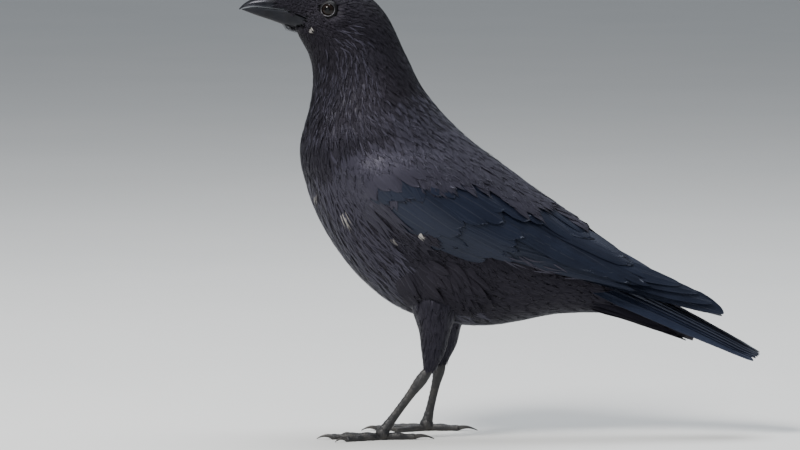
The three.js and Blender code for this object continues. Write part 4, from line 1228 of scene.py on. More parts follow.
def vanes(surface, u, v, length, width, lie, shape="round", root_depth=-2.0, tip_lift=0.0, camber=0.1,
          tilt=0.0, ragged=0.10, yaw=0.1, curl=0.12, rows=6, columns=5, seed=1, crowd=1.7):
    """Closed vanes with their roots at u, v. Height over the surface runs from root_depth to
    tip_lift, as 1 - (1 - share)^1.8, so that tips settle on the feathers below. Across, each
    column bulges by camber of the width times 1 - x^2 and rises by tilt times x, where x is -1 to
    1. The tip's columns end a little unevenly, as barbs do. The lower side is the flat from edge
    to edge. Rows crowd towards the tip as 1 - (1 - k)^crowd."""
    count = len(u)
    dice = np.random.default_rng(seed)
    length = np.broadcast_to(length, count) * dice.uniform(0.88, 1.12, count)
    width = np.broadcast_to(width, count) * dice.uniform(0.9, 1.1, count)
    shares = 1 - (1 - np.linspace(0, 1, rows)) ** crowd
    yaws, curls = dice.normal(0, yaw, count), dice.normal(0, curl, count)
    us, vs, ways = walked(surface, u, v, length, lie, shares, yaws, curls)
    _, along, across, normal = surface.at(us, vs)
    du, dv = stepped(along, across, np.cross(normal, ways))
    ahead_u, ahead_v = stepped(along, across, ways)
    x = np.linspace(-1, 1, columns)[None, None, :]
    half = (width[:, None] / 2 * np.interp(shares, *SHAPES[shape]))[..., None]
    fray = dice.normal(0, ragged, (count, 1, columns)) - 0.6 * ragged * x ** 2
    slide = fray * (shares ** 3)[None, :, None] * length[:, None, None]
    at_u = us[..., None] + x * half * du[..., None] + slide * ahead_u[..., None]
    at_v = vs[..., None] + x * half * dv[..., None] + slide * ahead_v[..., None]
    point, _, _, normal = surface.at(at_u, at_v)
    rise, deep, slope = (np.broadcast_to(value, count)[:, None, None]
                         for value in (tip_lift, root_depth, tilt))
    rise = rise + dice.normal(0, 0.05, (count, 1, 1))
    slope = slope + dice.normal(0, 0.06, (count, 1, 1))
    settle = (1 - (1 - shares) ** 1.8)[None, :, None]
    height = deep + (rise - deep) * settle + camber * 2 * half * (1 - x ** 2) + slope * x
    point = point + height[..., None] * normal
    vane = np.stack(np.broadcast_arrays((x + 1) / 2, shares[None, :, None] + 0 * half), -1)
    vane = np.broadcast_to(vane, point.shape[:3] + (2,))
    place = np.stack((v, u), -1)[:, None, None]
    bulge = 0.10 * (1 - x ** 2) * (2 * shares[None, :, None] - 1)
    patch = np.stack(np.broadcast_arrays(x / 2, shares[None, :, None] - 0.5 + bulge), -1) * PATCH
    bake = 0.004 + 0.992 * place + patch
    return point, vane, np.broadcast_to(bake, point.shape[:3] + (2,))


def straight(surface, root, tip, width, **how):
    """Vanes that head straight from root to tip, both given as arrays of u and v."""
    line = surface.at(*tip)[0] - surface.at(*root)[0]
    heading = unit(line)
    span = np.linalg.norm(line, axis=-1)
    return vanes(surface, *root, span, width, lambda point, along: heading, **how)


def feather_piece(name, laid, material, tones, pale=0.0, large=False, replaces=()):
    """One piece from the arrays of vanes(). A coat piece has a bake map. A piece of large feathers
    has none, only its vane map."""
    point, vane, bake = laid
    count, rows, columns = point.shape[:3]
    marks = {mark: np.repeat(np.broadcast_to(values, count), rows * columns)
             for mark, values in (("tone", tones), ("pale", pale))}
    maps = {"Vane": vane} if large else {"OFBake": bake, "Vane": vane}
    return piece(name, point.reshape(-1, 3), ring_faces(count, rows, columns), plumage[material],
                 "flight_feather" if large else "plumage", replaces,
                 uvs={label: pairs.reshape(-1, 2) for label, pairs in maps.items()}, marks=marks,
                 rim=rim_of(count, rows, columns))


print("coat tools ready")

# %% [markdown]
# ## The form the coat follows
# The small feathers of neck and back don't stop where a wing begins: they flow over its front and
# top edge. So the coat follows the body's form let out over the wings, and softened, as a shawl
# would lie. A shrinkwrapped sheet would give such a form too, but a table of how far each place is
# let out can be smoothed and faded as one array. Below the wings the coat stays on the body,
# because there the wing lies over it.

# %% Let the body's form out over the wings


def section_of(x, y, z):
    """The section, angle and reach of points off the body: the section whose line holds x and z,
    then the point's place in it measured in half axes."""
    t = np.linspace(0, FLESH_END, 561)
    back_x, back_z, front_x, front_z, half, egg = np.moveaxis(spline(BODY, t), -1, 0)
    side = (x[:, None] - back_x) * (front_z - back_z) - (z[:, None] - back_z) * (front_x - back_x)
    share = (x[:, None] - front_x) * (back_x - front_x) + (z[:, None] - front_z) * (back_z - front_z)
    span = np.hypot(back_x - front_x, back_z - front_z)
    off = np.abs(side) / span + 1e3 * ((share / span ** 2 < -0.1) | (share / span ** 2 > 1.25))
    k = np.argmin(off, axis=1)
    a = share[np.arange(len(x)), k] / span[k] ** 2 * 2 - 1
    b = np.abs(y) / (half[k] * (1 + egg[k] * a))
    return t[k], np.arctan2(b, a) % math.tau, np.hypot(a, b)


def blurred(table, radius):
    """A table smoothed by a running mean down and across. Columns wrap round."""
    for axis in (0, 1):
        pad = [(radius, radius) if a == axis else (0, 0) for a in (0, 1)]
        wide = np.pad(table, pad, mode="wrap" if axis else "edge")
        sums = np.insert(np.cumsum(wide, axis=axis), 0, 0, axis=axis)
        window, first = 2 * radius + 1, np.arange(table.shape[axis])
        table = (np.take(sums, first + window, axis) - np.take(sums, first, axis)) / window
    return table


ARM_END = 5.6  # the wing section up to which the coat flows over the wing
arm = wing_point(*grid(np.linspace(0, ARM_END, 260), np.linspace(0, 1, 140)), -1).reshape(-1, 3)
t, turned_by, reach = section_of(*arm.T)
reaches = np.ones((ROWS + 1, COLUMNS))
row = np.round(t / COAT_END * ROWS).astype(int)
for share in (1 - turned_by / math.tau, turned_by / math.tau):  # the left wing, and its mirror image
    np.maximum.at(reaches, (row, np.round(share * COLUMNS).astype(int) % COLUMNS), reach)
covered = np.maximum(reaches, np.maximum(np.roll(reaches, 1, 0), np.roll(reaches, 1, 1)))
let_out = np.maximum(covered, blurred(covered, 7))
let_out = blurred(np.maximum(let_out, blurred(let_out, 5)), 2)
from_back = np.minimum(np.arange(COLUMNS), COLUMNS - np.arange(COLUMNS))[None, :] / COLUMNS * 360
below = smoothstep(from_back, 95, 125) * smoothstep(station[:, :1], 8.4, 9.4)
let_out = lerp(let_out, 1.0, below)
let_out = np.concatenate([let_out, let_out[:, :1]], 1)
back_x, back_z, front_x, front_z = np.moveaxis(spline(BODY, station), -1, 0)[:4]
middle = np.stack([(back_x + front_x) / 2, 0 * back_x, (back_z + front_z) / 2], -1)
shawl = Surface(middle + (body.points - middle) * let_out[..., None], closed=True)
print("let out by up to", round(float(let_out.max()), 2))

# %% [markdown]
# ## The coat of head, neck and body
# The feathers are tiny and dense round the bill and eye, narrow and pointed on the throat, longer
# and softer on the breast and belly, and broad on the back. A few sizes of feather could be
# strewn in zones, but the zones' borders would show. So length, width and spacing are read from
# one table along the body, and nothing changes in a step.

# %% Sizes along the body
SIZES = np.array([  # section, length, width, spacing
    (0, 4.2, 1.6, 1.15), (1, 4.8, 1.8, 1.25), (2, 5.8, 2.1, 1.42), (3, 8.5, 2.6, 1.65),
    (3.75, 11, 3.0, 1.85), (5, 16.0, 4.0, 2.25), (6.7, 20, 5.4, 2.8), (8, 23, 6.6, 3.2),
    (9.5, 26, 7.6, 3.6), (11, 28, 8.2, 4.0), (12.5, 28, 8.6, 4.3), (14, 29, 9.5, 4.9),
    (16, 32, 10.5, 6.0)])


def size_at(t, column, table=SIZES):
    """Length (column 1), width (2) or spacing (3) at section t, in line between a table's rows."""
    return np.interp(t, table[:, 0], table[:, column])


print("feathers grow from", SIZES[0, 1], "to", SIZES[-1, 1], "mm")

# %% The lie of the coat
EYE_SPOTS = [EYE * [1, side, 1] + 3.4 * eye_axes(side)[0] for _, side in SIDES]
GAPE_LINE = np.array([(-164.5, 328.6), (-157.0, 326.3), (-150.0, 323.8)])  # mouth line, x and z
LIE_SOFTNESS, ALONG_BODY, PARTING, PARTING_WIDTH = 70, 0.25, 1.5, 7.0
LIE = np.array([  # x, z and the way the feathers point there, as x and z
    (-154, 336, 1, -0.1), (-134, 346, 1, 0.05), (-114, 332, 1, -0.02), (-98, 329, 0.94, -0.33),
    (-119, 320, 0.99, -0.15), (-131, 320, 0.93, -0.37), (-140, 318, 0.88, -0.48), (-106, 313, 0.89, -0.45),
    (-89, 313, 0.62, -0.78), (-126, 304, 0.89, -0.45), (-141, 309, 0.37, -0.93), (-147, 303, 0.15, -0.99),
    (-134, 289, -0.15, -0.99), (-119, 290, -0.05, -1), (-104, 290, 0.37, -0.93), (-86, 290, 0.62, -0.78),
    (-96, 271, 0.37, -0.93), (-81, 266, 0.64, -0.76), (-131, 263, -0.24, -0.97), (-115, 267, 0.05, -1),
    (-144, 252, -0.27, -0.96), (-123, 244, 0.15, -0.99), (-96, 246, 0.45, -0.89), (-69, 240, 0.67, -0.74),
    (-149, 225, 0, -1), (-123, 221, 0.33, -0.94), (-98, 225, 0.53, -0.85), (-57, 225, 0.62, -0.78),
    (-37, 219, 0.72, -0.69), (-21, 206, 0.73, -0.69), (4, 198, 0.8, -0.6), (39, 179, 0.86, -0.51),
    (-119, 186, 0.6, -0.8), (-140, 182, 0.29, -0.96), (-127, 163, 0.51, -0.86), (-119, 140, 0.57, -0.82),
    (-98, 117, 0.75, -0.66), (-88, 148, 0.78, -0.62), (-54, 135, 0.89, -0.45), (-54, 113, 0.94, -0.33),
    (-19, 121, 0.6, -0.8), (-56, 116, 0.3, -0.95), (-70, 124, 0.45, -0.89), (-38, 116, 0.4, -0.92),
    (12, 117, 0.91, -0.41), (47, 109, 0.96, -0.29), (93, 105, 0.98, -0.2), (77, 144, 0.88, -0.48)])


def lie_of_coat(point, along):
    """The mean of the listed ways, each weighed by one over the square of (its distance squared
    plus LIE_SOFTNESS), with a little of the way along the body. Round each eye the coat parts."""
    gap = ((point[..., None, [0, 2]] - LIE[:, :2]) ** 2).sum(-1)
    ways = ((gap + LIE_SOFTNESS) ** -2.0)[..., None] * LIE[:, 2:]
    flat = unit(ways.sum(-2))
    way = np.stack([flat[..., 0], 0 * flat[..., 0], flat[..., 1]], -1) + ALONG_BODY * unit(along)
    for spot in EYE_SPOTS:
        away = point - spot
        far = np.linalg.norm(away, axis=-1, keepdims=True)
        way = way + PARTING * np.exp(-(far / PARTING_WIDTH) ** 2) * away / np.maximum(far, 1e-6)
    return way


def near_line(point, line):
    """Distance in the side view from each point to a broken line of x and z."""
    p = point[..., None, [0, 2]]
    a, b = line[:-1], line[1:]
    f = np.clip(((p - a) * (b - a)).sum(-1) / ((b - a) ** 2).sum(-1), 0, 1)
    return np.linalg.norm(p - (a + f[..., None] * (b - a)), axis=-1).min(-1)


def section_tone(t, v, dice):
    """Feathers differ one by one, and lie in soft drifts of lighter and darker ones."""
    drift = np.sin(v * 43 + 2 * np.sin(t * 2.1)) * np.sin(t * 5.3 + 1.7)
    return 0.20 - 0.18 * (t < 3.6) + 0.10 * drift + dice.normal(0, 0.10, len(t))


# %% Clear the eyes and the mouth line
CLEAR_OF_LID, CLEAR_OF_MOUTH = 6.0, 0.75
# The side of the lower bill's base is bare horn, between two heights and ahead of a sloping line.
BARE_FROM, BARE_SLOPE, BARE_LOW, BARE_HIGH = -150.5, 0.25, 316.2, 326


def cleared(surface, u, v, length, lie):
    """True for feathers that keep off the lids and off the bare line of the gape."""
    shares = np.array([0, 0.33, 0.66, 1.0])
    us, vs, _ = walked(surface, u, v, length, lie, shares, np.zeros(len(u)), np.zeros(len(u)))
    point = surface.at(us, vs)[0]
    ok = np.ones(len(u), bool)
    for spot in EYE_SPOTS:
        ok &= (np.linalg.norm(point - spot, axis=-1) > CLEAR_OF_LID).all(1)
    x, y, z = point[:, 0].T
    on_line = (near_line(point, GAPE_LINE).min(1) < CLEAR_OF_MOUTH) & (np.abs(y) > 5) & (x < -145)
    on_horn = (x < BARE_FROM + BARE_SLOPE * (z - 317)) & (z < BARE_HIGH) & (z > BARE_LOW)
    return ok & ~on_horn & ~on_line


SCAPULAR_EDGE = np.array([  # x, z
    (-125, 190), (-112, 187), (-98, 190), (-80, 199), (-61, 205), (-46, 208), (-23, 205), (-10, 196),
    (12, 185), (21, 186), (60, 170)])


def over_edge(point):
    """Height in the side view over the lower edge of the shoulder feathers."""
    return point[..., 2] - np.interp(point[..., 0], SCAPULAR_EDGE[:, 0], SCAPULAR_EDGE[:, 1])


def kept_from_wing(point, inside=0.86, upper=True):
    """Roots on the wing are kept only above the lower edge of the shoulder feathers, and a little
    way in under the wing's lower edge. The rest of the wing has its own coverts."""
    x, z = point[..., 0].ravel(), point[..., 2].ravel()
    wing_u, wing_v = on_wing(x, z)
    found = wings[-1].at(wing_u, wing_v)[0]
    off = np.hypot(found[:, 0] - x, found[:, 2] - z).reshape(point.shape[:-1])
    down = (wing_v * (1 + 2 * EDGE) - EDGE).reshape(point.shape[:-1])
    below_wing = down > np.interp(point[..., 0], [-110, -90], [0.92, inside])
    on_flank = (off < 1.5) & (np.abs(point[..., 1]) > 8)
    return ~on_flank | below_wing | (upper & (over_edge(point) > 3))


# %% Parts of the coat that differ


def on_back(point, u, v):
    """1 on the mantle, fading out over the hind neck and round the sides, and 0 behind it."""
    t, middle = u * COAT_END, np.abs(point[..., 1]) < 15
    back = smoothstep(np.cos(v * math.tau), 0.16, 0.34) * ((over_edge(point) > 0) | middle)
    return back * smoothstep(t, 5.2, 7.4) * (1 - smoothstep(t - 1.1 * middle, 8.6, 9.6))


def on_shoulder(point, u, v):
    """1 over the bend of the wing and 0 round it: an ellipse in the side view."""
    off = ((point[..., 0] + 99) / 38) ** 2 + ((point[..., 2] - 215) / 26) ** 2
    return (1 - smoothstep(off, 0.5, 1.2)) * (np.abs(point[..., 1]) > 12) * (1 - on_back(point, u, v))


def over_thigh(point):
    """1 where the belly's feathers hang over the top of a leg."""
    off = ((point[..., 0] + 55) / 34) ** 2 + ((point[..., 2] - 126) / 17) ** 2
    return (1 - smoothstep(off, 0.5, 1.1)) * smoothstep(np.abs(point[..., 1]), 12, 20)


def round_eye(point):
    """1 close round an eye, where the feathers stand up against the lid."""
    off = np.linalg.norm(point * [1, 0, 1] - EYE * [1, 0, 1], axis=-1)
    return 1 - smoothstep(off, 8.5, 14)


# %% Lay the coat in lengths from bill to tail
# From the belly on, the coat lies on the body itself and runs in under the wings. On the front of
# the neck the feathers are longer and narrower, and over the thigh they stand off.
LONGER, NARROWER, THIGH_LIFT, EYE_LIFT = 0.30, 0.12, 5.0, 0.8
COATS = [  # name, sections from, to, surface, material, shape, rows, columns, camber, ragged
    ("coat_face", 0.0, 2.3, shawl, "face_plumage", "lance", 5, 4, 0.07, 0.06),
    ("coat_head", 2.3, 3.9, shawl, "face_plumage", "lance", 6, 4, 0.06, 0.08),
    ("coat_neck", 3.9, 5.6, shawl, "hackle_plumage", "lance", 7, 5, 0.04, 0.10),
    ("coat_neck_base", 5.6, 7.2, shawl, "body_plumage", "lance", 7, 5, 0.03, 0.12),
    ("coat_breast", 7.2, 9.4, shawl, "body_plumage", "lance", 7, 5, 0.03, 0.13),
    ("coat_belly", 9.4, 12.2, body, "hackle_plumage", "oval", 7, 5, 0.02, 0.06),
    ("coat_rump", 12.2, 15.9, body, "hackle_plumage", "oval", 7, 6, 0.02, 0.05),
]
for index, (name, low, high, surface, material, *form) in enumerate(COATS):
    shape, rows, columns, camber, ragged = form

    def wanted(point, u, v, low=low, high=high, surface=surface):
        """1 in this length of the body, less the back, the shoulders and what the wing covers."""
        kept = kept_from_wing(point) if surface is shawl else kept_from_wing(point, 0.62, False)
        here = (u * COAT_END >= low) * (u * COAT_END < high)
        return here * (1 - on_back(point, u, v)) * (1 - on_shoulder(point, u, v)) * kept

    u, v = scatter(surface, lambda u: size_at(u * COAT_END, 3), wanted, 1000 * index)
    t = u * COAT_END
    length, width = size_at(t, 1), size_at(t, 2)
    if low < 3:
        ok = cleared(surface, u, v, length, lie_of_coat)
        u, v, t, length, width = u[ok], v[ok], t[ok], length[ok], width[ok]
    front = smoothstep(-np.cos(v * math.tau), -0.2, 0.9)
    front = front * smoothstep(t, 2.4, 4) * (1 - smoothstep(t, 6, 8))
    length, width = length * (1 + LONGER * front), width * (1 - NARROWER * front)
    dice = np.random.default_rng(70 + index)
    root = surface.at(u, v)[0]
    lift = (0.25 + 0.25 * front + (THIGH_LIFT + dice.normal(0, 0.7, len(u))) * over_thigh(root)
            + EYE_LIFT * round_eye(root))
    laid = vanes(surface, u, v, length, width, lie_of_coat, shape, -coat_depth(t), lift, camber,
                 0.0, ragged, 0.08, 0.10, rows, columns, seed=90 + index)
    feather_piece(name, laid, material, section_tone(t, v, dice))

# %% [markdown]
# ## Back and shoulder feathers
# The mantle covers the back, and the scapulars flow from it over the top of each folded wing.
# They're broader and glossier than the breast's, and grow longer towards the rump. The feathers
# over the bend of the wing are silky, and painted lighter as a highlight where most light falls.
# Behind them the innermost tertials of both wings meet over the back. They could be zones of the
# coat, but they differ from it in shape and gloss as well as in size, so they're laid on their own.

# %% Mantle, scapulars and shoulders
MANTLE = np.array([  # section, length, width, spacing
    (5, 17, 4.2, 2.4), (6.4, 20, 5.4, 3.0), (8, 28, 7.8, 4.0), (9.5, 33, 9.2, 4.8)])
SHOULDER_SPACING, SHOULDER_LENGTH, SHOULDER_WIDTH = 3.5, 21, 7.2


def back_lie(point, along):
    """Backwards, and a little outwards and down at the sides, over the edge of the wing."""
    aside = np.sign(point[..., 1])
    outward_way = np.stack([0 * aside, aside, np.full(aside.shape, -0.4)], -1)
    side = smoothstep(np.abs(point[..., 1]), 4, 26)[..., None]
    return lie_of_coat(point, along) + 0.16 * side * outward_way


u, v = scatter(shawl, lambda u: size_at(u * COAT_END, 3, MANTLE),
               lambda point, u, v: on_back(point, u, v) * kept_from_wing(point), 9000)
t = u * COAT_END
laid = vanes(shawl, u, v, size_at(t, 1, MANTLE), size_at(t, 2, MANTLE), back_lie, "oval", -2.4, 0.45,
             0.02, 0.0, 0.06, 0.09, 0.12, 8, 6, seed=301)
dice = np.random.default_rng(302)
feather_piece("coat_mantle", laid, "mantle_plumage", section_tone(t, v, dice) + 0.10)

u, v = scatter(shawl, lambda u: SHOULDER_SPACING,
               lambda point, u, v: on_shoulder(point, u, v) * kept_from_wing(point), 9500)
laid = vanes(shawl, u, v, SHOULDER_LENGTH, SHOULDER_WIDTH, lie_of_coat, "oval", -2.4, 0.4, 0.02,
             0.0, 0.07, 0.09, 0.12, 8, 6, seed=311)
# The shoulder feathers' high tone paints them lighter, as the highlight where the key light falls.
feather_piece("coat_shoulders", laid, "mantle_plumage", 0.62 + dice.normal(0, 0.18, len(u)))

# %% The tertials that meet over the back
BACK_TERTIALS = np.array([  # section and degrees from the back line at root and at tip, and the width
    (8.7, 14, 13.2, 16, 21), (8.6, 30, 12.6, 36, 19)])
TERTIAL_LIFT, RIGHT_HIGHER = np.array([-1.2, -1.8]), 0.25
for word, side in SIDES:
    u0, v0, u1, v1 = (BACK_TERTIALS[:, :4] / [COAT_END, 360, COAT_END, 360]).T
    laid = straight(shawl, (u0, side * v0), (u1, side * v1), BACK_TERTIALS[:, 4], shape="oval",
                    root_depth=-1.5, tip_lift=TERTIAL_LIFT - RIGHT_HIGHER * side, camber=0.02,
                    tilt=0.3 * side, ragged=0.015, yaw=0.01, curl=0.02, rows=18, columns=9,
                    seed=330 + side)
    tones = 0.15 + dice.normal(0, 0.05, 2)
    feather_piece(f"back_tertials_{word}", laid, "flight_plumage", tones, large=True)

# %% Loose strands painted lighter, as highlights
STRANDS = {  # section from, to, least and most of the cosine from the back line; then length,
    # width, spacing, lift and tone; the high tones paint the strands as highlights
    "throat_strands": (3.0, 6.6, -1.0, 0.35, 13, 1.2, 4.6, 0.75, 0.62),
    "breast_strands": (7.6, 11.5, -1.0, -0.50, 27, 1.8, 4.3, 0.8, 0.90),
    "back_strands": (6.6, 12.4, 0.2, 1.0, 17, 1.3, 8.0, 0.9, 0.80),
}
for index, (name, (low, high, least, most, *form)) in enumerate(STRANDS.items()):
    length, width, gap, lift, tone = form

    def strand_wanted(point, u, v, low=low, high=high, least=least, most=most):
        """1 in this length of the body and this part of its girth."""
        t, back = u * COAT_END, np.cos(v * math.tau)
        return (t > low) * (t < high) * (back >= least) * (back < most) * kept_from_wing(point)

    u, v = scatter(shawl, lambda u: gap, strand_wanted, 9600 + 40 * index)
    laid = vanes(shawl, u, v, length, width, lie_of_coat, "lance", -0.8, lift, 0.10, 0.0, 0.04, 0.12,
                 0.25, 7, 3, seed=321 + index)
    feather_piece(name, laid, "mantle_plumage", tone + dice.normal(0, 0.2, len(u)))

# %% Feathered shanks
SHANK_SPACING = (0, 0.5, 0.9), (3.6, 2.3, 1.7)  # shares of the way down, and values there
SHANK_LENGTH = (0, 0.5, 0.85), (17, 11, 6.0)
SHANK_WIDTH = (0, 0.5, 0.85), (5.5, 3.6, 2.4)
SHANK_LIFT = (0, 0.6, 0.8), (0.5, 0.3, 0.1)
LAST_ROOT = 0.80
for word, side in SIDES:
    t, angle = grid(np.linspace(0, len(SHANK) - 1, 120), np.linspace(0, math.tau, 73))
    tucked = -2.5 * (1 - smoothstep(t, 0, 0.5))
    surface = facing_out(shank_point(t, angle, side, tucked), closed=True)
    u, v = scatter(surface, lambda u: np.interp(u, *SHANK_SPACING),
                   lambda point, u, v: u < LAST_ROOT, 400)
    length, width, lift = (np.interp(u, *values) for values in (SHANK_LENGTH, SHANK_WIDTH, SHANK_LIFT))
    laid = vanes(surface, u, v, length, width, lambda point, along: unit(along), "lance", -1.7,
                 lift, 0.06, 0.0, 0.08, 0.10, 0.14, 6, 5, seed=600 + side)
    dice = np.random.default_rng(610 + side)
    feather_piece(f"coat_shank_{word}", laid, "body_plumage", 0.18 + dice.normal(0, 0.12, len(u)))

# %% [markdown]
# ## Bristles and chin
# Stiff bristles grow forward from the face over the nostrils and hide the base of the upper bill.
# Under the bill a fringe of fine feathers reaches forward to where its two sides join. Hair would
# suit both, but it isn't mesh, so they're narrow vanes.

# %% Nasal bristles
BRISTLE_SPACING, NASAL_WIDTH, CHIN_WIDTH = 0.95, 1.05, 0.9


def bill_surface(rows, drop):
    """One half of the bill as a plain arch, from the face to the tip, for feathers to stand on."""
    t, angle = grid(np.linspace(0, len(rows) - 1, 120), np.linspace(0, math.pi, 61))
    ridge_x, ridge_z, mouth_x, mouth_z, half = np.moveaxis(spline(rows, t), -1, 0)
    height = np.maximum(np.sin(angle), 0)
    z = lerp(mouth_z, ridge_z, height) - drop
    return facing_out(np.stack([lerp(mouth_x, ridge_x, height), np.cos(angle) * half, z], -1))


def bristle_wanted(point, u, v):
    """On the sides and top of the upper bill's base, reaching less far along its ridge."""
    reach = lerp(-166.0, -161.0, smoothstep(np.sin(v * math.pi), 0.75, 1.0))
    return (point[..., 0] > reach) & (np.sin(v * math.pi) > 0.26)


def bristle_lie(point, along):
    """Forward along the bill, and a little down at the sides."""
    return unit(along) - 0.12 * (np.abs(point[..., 1:2]) > 3) * UP


upper_form = bill_surface(UPPER, 0)
u, v = scatter(upper_form, lambda u: BRISTLE_SPACING, bristle_wanted, 2200)
dice = np.random.default_rng(811)
laid = vanes(upper_form, u, v, dice.uniform(6.5, 10.5, len(u)), NASAL_WIDTH, bristle_lie, "lance",
             -0.3, 1.0, 0.16, 0.0, 0.04, 0.10, 0.12, 6, 3, seed=812)
feather_piece("nasal_bristles", laid, "face_plumage", 0.28 + dice.normal(0, 0.16, len(u)))

# %% Chin fringe
CHIN_REACH = (0.2, 0.55, 0.75, 0.90, 0.985), (-152.5, -152, -155, -159, -167)  # sine, and x there
lower_form = bill_surface(LOWER, MOUTH_GAP)


def chin_wanted(point, u, v):
    """Underneath the lower bill and round its base, from the face to where its two sides join."""
    below = np.sin(v * math.pi)
    return (point[..., 0] > np.interp(below, *CHIN_REACH)) & (below > CHIN_REACH[0][0])


def chin_lie(point, along):
    """Back towards the throat, hanging down underneath and standing out at the sides."""
    side = smoothstep(np.abs(point[..., 1]), 6, 11)
    y = 0.45 * side * np.sign(point[..., 1])
    return -unit(along) + np.stack([0.15 + 0 * side, y, lerp(-0.8, -0.25, side)], -1)


u, v = scatter(lower_form, lambda u: BRISTLE_SPACING, chin_wanted, 2600)
dice = np.random.default_rng(821)
laid = vanes(lower_form, u, v, dice.uniform(3.0, 5.5, len(u)), CHIN_WIDTH, chin_lie, "lance", -0.2,
             dice.uniform(1.0, 3.4, len(u)), 0.16, 0.0, 0.05, 0.16, 0.2, 5, 3, seed=822)
feather_piece("chin_fringe", laid, "hackle_plumage", 0.22 + dice.normal(0, 0.14, len(u)))

# %% [markdown]
# ## The folded wing's feathers
# Most of what shows of a folded wing is coverts. They lie in rows, and each row hides the roots of
# the next: lesser, median and greater coverts over the secondaries, and primary coverts with the
# three feathers of the alula along the lower edge. Within a row the feather nearer the body lies
# over the next, so each one's lower edge shows. Scattered roots would lose those rows, so a row
# is set out by the line of its roots and the line of its tips in the side view. Both wings use
# the same rows.

# %% Rows of the wing: roots, tips, count, width, depth at root, lift at tip
PANEL_ROWS = {
    "bases": ([(-20, 174), (-26, 152.5)], [(106, 137), (118, 113)], 5, 10.5, -3.0, -1.6),
    "secondaries": ([(0, 193), (-25, 183.5)], [(116, 127), (102, 122), (88, 124), (78, 128.5)],
                    7, 15, -2.8, -0.7),
    "tertials": ([(6, 186), (0, 194), (-2, 201)], [(110, 131.5), (98, 139), (80, 150)], 4, 17.5, -2.2, 0.0),
}
COVERT_ROWS = {
    "primary_coverts": ([(-38, 184), (-60, 159)], [(17, 157), (10, 142), (-14, 139.5)], 9, 10.5, -2.4, -0.6),
    "alula": ([(-84, 176), (-92, 170)], [(-30, 152), (-44, 149.5)], 3, 9.0, -1.8, 0.0),
    "greater_coverts": ([(-101, 192), (-60, 205), (-14, 205)], [(-52, 160), (-22, 165), (8, 174), (36, 166)],
                        10, 17.0, -1.8, 0.25),
}
SMALL_ROWS = {  # the same, and the tone and the material
    "median_coverts": ([(-108, 204), (-66, 217), (-12, 214)], [(-84, 184), (-46, 188), (12, 188)],
                       11, 14.0, -1.5, 0.55, 0.2, "wing_plumage"),
    # The lesser coverts' high tone and lighter mantle colours paint the highlight over the wing's front.
    "lesser_coverts": ([(-112, 212), (-74, 226), (-20, 222)], [(-99, 188), (-62, 199), (-26, 202), (-6, 198)],
                       14, 11.5, -1.4, 0.85, 0.55, "mantle_plumage"),
}
WIDE_ROWS = {  # table, points along and round a feather, material
    "secondaries": (PANEL_ROWS, 16, 9, "flight_plumage"),
    "greater_coverts": (COVERT_ROWS, 12, 9, "wing_plumage"),
}
STIFF = {"shape": "broad", "camber": 0.03, "ragged": 0.015, "yaw": 0.012, "curl": 0.02, "crowd": 2.0}
SOFT = {"shape": "round", "camber": 0.03, "ragged": 0.03, "yaw": 0.03, "curl": 0.04, "rows": 10,
        "columns": 7}
STIFF_TILT, SOFT_TILT = 0.45, 0.3


def wing_row(side, row, **how):
    """One row of a table, laid on one wing: count feathers evenly along the lines of roots and
    tips, which are those of the left wing."""
    *lines, count, width, deep, lift = row
    root, tip = (on_wing(*spline(line, np.linspace(0, len(line) - 1, count)).T) for line in lines)
    return straight(wings[side], root, tip, width, root_depth=deep, tip_lift=lift, **how)


for word, side in SIDES:
    dice = np.random.default_rng(900 + side)
    for name, (table, rows, columns, material) in WIDE_ROWS.items():
        made = [wing_row(side, row, tilt=STIFF_TILT * side, rows=rows, columns=columns,
                         seed=910 + side + 10 * k, **STIFF)
                for k, row in enumerate(table.values())]
        laid = [np.concatenate(part) for part in zip(*made)]
        tones = 0.12 + dice.normal(0, 0.08, len(laid[0]))
        feather_piece(f"{name}_{word}", laid, material, tones, large=True,
                      replaces=[f"wing_{word}_panel"] if name == "secondaries" else [])
    for k, (name, (*row, tone, material)) in enumerate(SMALL_ROWS.items()):
        laid = wing_row(side, row, tilt=SOFT_TILT * side, seed=950 + side + 10 * k, **SOFT)
        tones = tone + dice.normal(0, 0.08, len(laid[0]))
        feather_piece(f"{name}_{word}", laid, material, tones, large=True)

# %% [markdown]
# ## Flank feathers and worn tips
# Two long soft feathers of the breast's side lap over the wing's lower front edge, and a few of the
# breast's feathers are worn pale. They're placed one by one, on the form that the coat follows,
# because a rule that scattered them would put them in the wrong places.

# %% Feathers placed one by one on the body
NEAR_SIDE = -38.0  # y of the first guess


def on_shawl(places):
    """u and v on the bird's left side at places, an array of x and z, by fourteen of Newton's
    steps. A step is cut to 0.08, because the side turns away from the view at its edges."""
    x, z = places.T
    t, angle, _ = section_of(x, np.full(len(x), NEAR_SIDE), z)
    u, v = t / COAT_END, 1 - angle / math.tau
    for _ in range(14):
        du, dv = np.clip(newton_step(shawl, x, z, u, v, least=1.0), -0.08, 0.08)
        u, v = np.clip(u + 0.8 * du, 0, 1), v + 0.8 * dv
    return u, v


def locks(table, count, spread, seed):
    """Each row of a table of root x, z and tip x, z becomes count feathers: the roots lie spread
    to both sides of the line, and the tips close up to a third of that."""
    start, end = table[:, None, :2], table[:, None, 2:4]
    way = unit(end - start)
    aside = np.stack([-way[..., 1], way[..., 0]], -1)
    x = np.linspace(-1, 1, count)[None, :, None] * spread
    slip = np.random.default_rng(seed).uniform(-0.10, 0.06, (len(table), count, 1)) * (end - start)
    return (start + x * aside).reshape(-1, 2), (end + slip + x / 3 * aside).reshape(-1, 2)


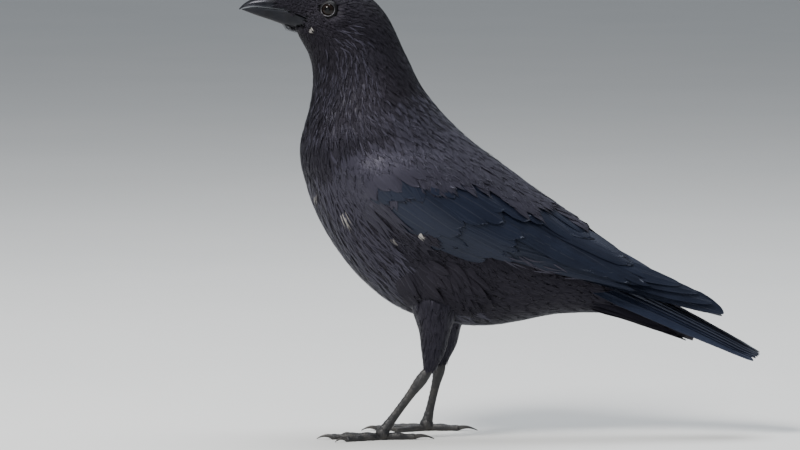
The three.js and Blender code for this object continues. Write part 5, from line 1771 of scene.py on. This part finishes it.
FLAPS = np.array([(-112, 190, -79, 151.5), (-107, 197, -64.5, 156.5)])  # root x, z, tip x, z
FLAP_WIDTH, WORN_WIDTH, WORN_COUNT = 3.6, 0.95, 6
laid = straight(shawl, *map(on_shawl, locks(FLAPS, 8, 5.5, 1201)), FLAP_WIDTH, shape="lance",
                root_depth=-1.4, tip_lift=1.6, camber=0.12, ragged=0.04, yaw=0.05, curl=0.08,
                rows=12, columns=5, seed=1202)
tones = 0.20 + np.random.default_rng(1203).normal(0, 0.2, len(laid[0]))
feather_piece("flank_locks", laid, "mantle_plumage", tones)

WORN = np.array([  # root x, z, tip x, z and how pale
    (-121.5, 176.5, -114.5, 162.0, 0.6), (-142.6, 190.0, -138.5, 177.5, 0.3),
    (-84.5, 156.5, -78.5, 151.2, 0.4), (-63.5, 161.5, -57.5, 156.0, 0.7),
    (-146.2, 314.6, -142.6, 312.2, 0.5)])
laid = straight(shawl, *map(on_shawl, locks(WORN, WORN_COUNT, 1.9, 1211)), WORN_WIDTH, shape="lance",
                root_depth=-0.6, tip_lift=1.3, camber=0.10, ragged=0.08, yaw=0.10, curl=0.10,
                rows=8, columns=3, seed=1212)
wear = np.random.default_rng(1213).uniform(0.4, 1.1, len(laid[0]))
feather_piece("worn_feathers", laid, "hackle_plumage", 0.5, np.repeat(WORN[:, 4], WORN_COUNT) * wear)

# %% [markdown]
# ## Floor and finish
# The model stands on a plain pale floor with a faint grain. A curved backdrop would hide the
# floor's far edge, but only from one side, and the model is looked at from all of them.

# %% Floor
FLOOR_DARK, FLOOR_LIGHT = (0.60, 0.61, 0.60, 1), (0.66, 0.66, 0.65, 1)
HALF_FLOOR = 40.0  # m
floor_material, tree, shader = blank("pale_floor", Roughness=0.85)
grain = noise(tree, coordinates(tree), 3, 4)
feed(tree, shader, Base_Color=mixed(tree, grain, FLOOR_DARK, FLOOR_LIGHT))
floor_mesh = bpy.data.meshes.new("floor")
corners = [(x * HALF_FLOOR, y * HALF_FLOOR, 0) for x, y in ((-1, -1), (1, -1), (1, 1), (-1, 1))]
floor_mesh.from_pydata(corners, [], [(0, 1, 2, 3)])
floor = bpy.data.objects.new("floor", floor_mesh)
bpy.context.scene.collection.objects.link(floor)
floor.data.materials.append(floor_material)
print("floor:", 2 * HALF_FLOOR, "m wide")

# %% The end
bpy.context.view_layer.update()
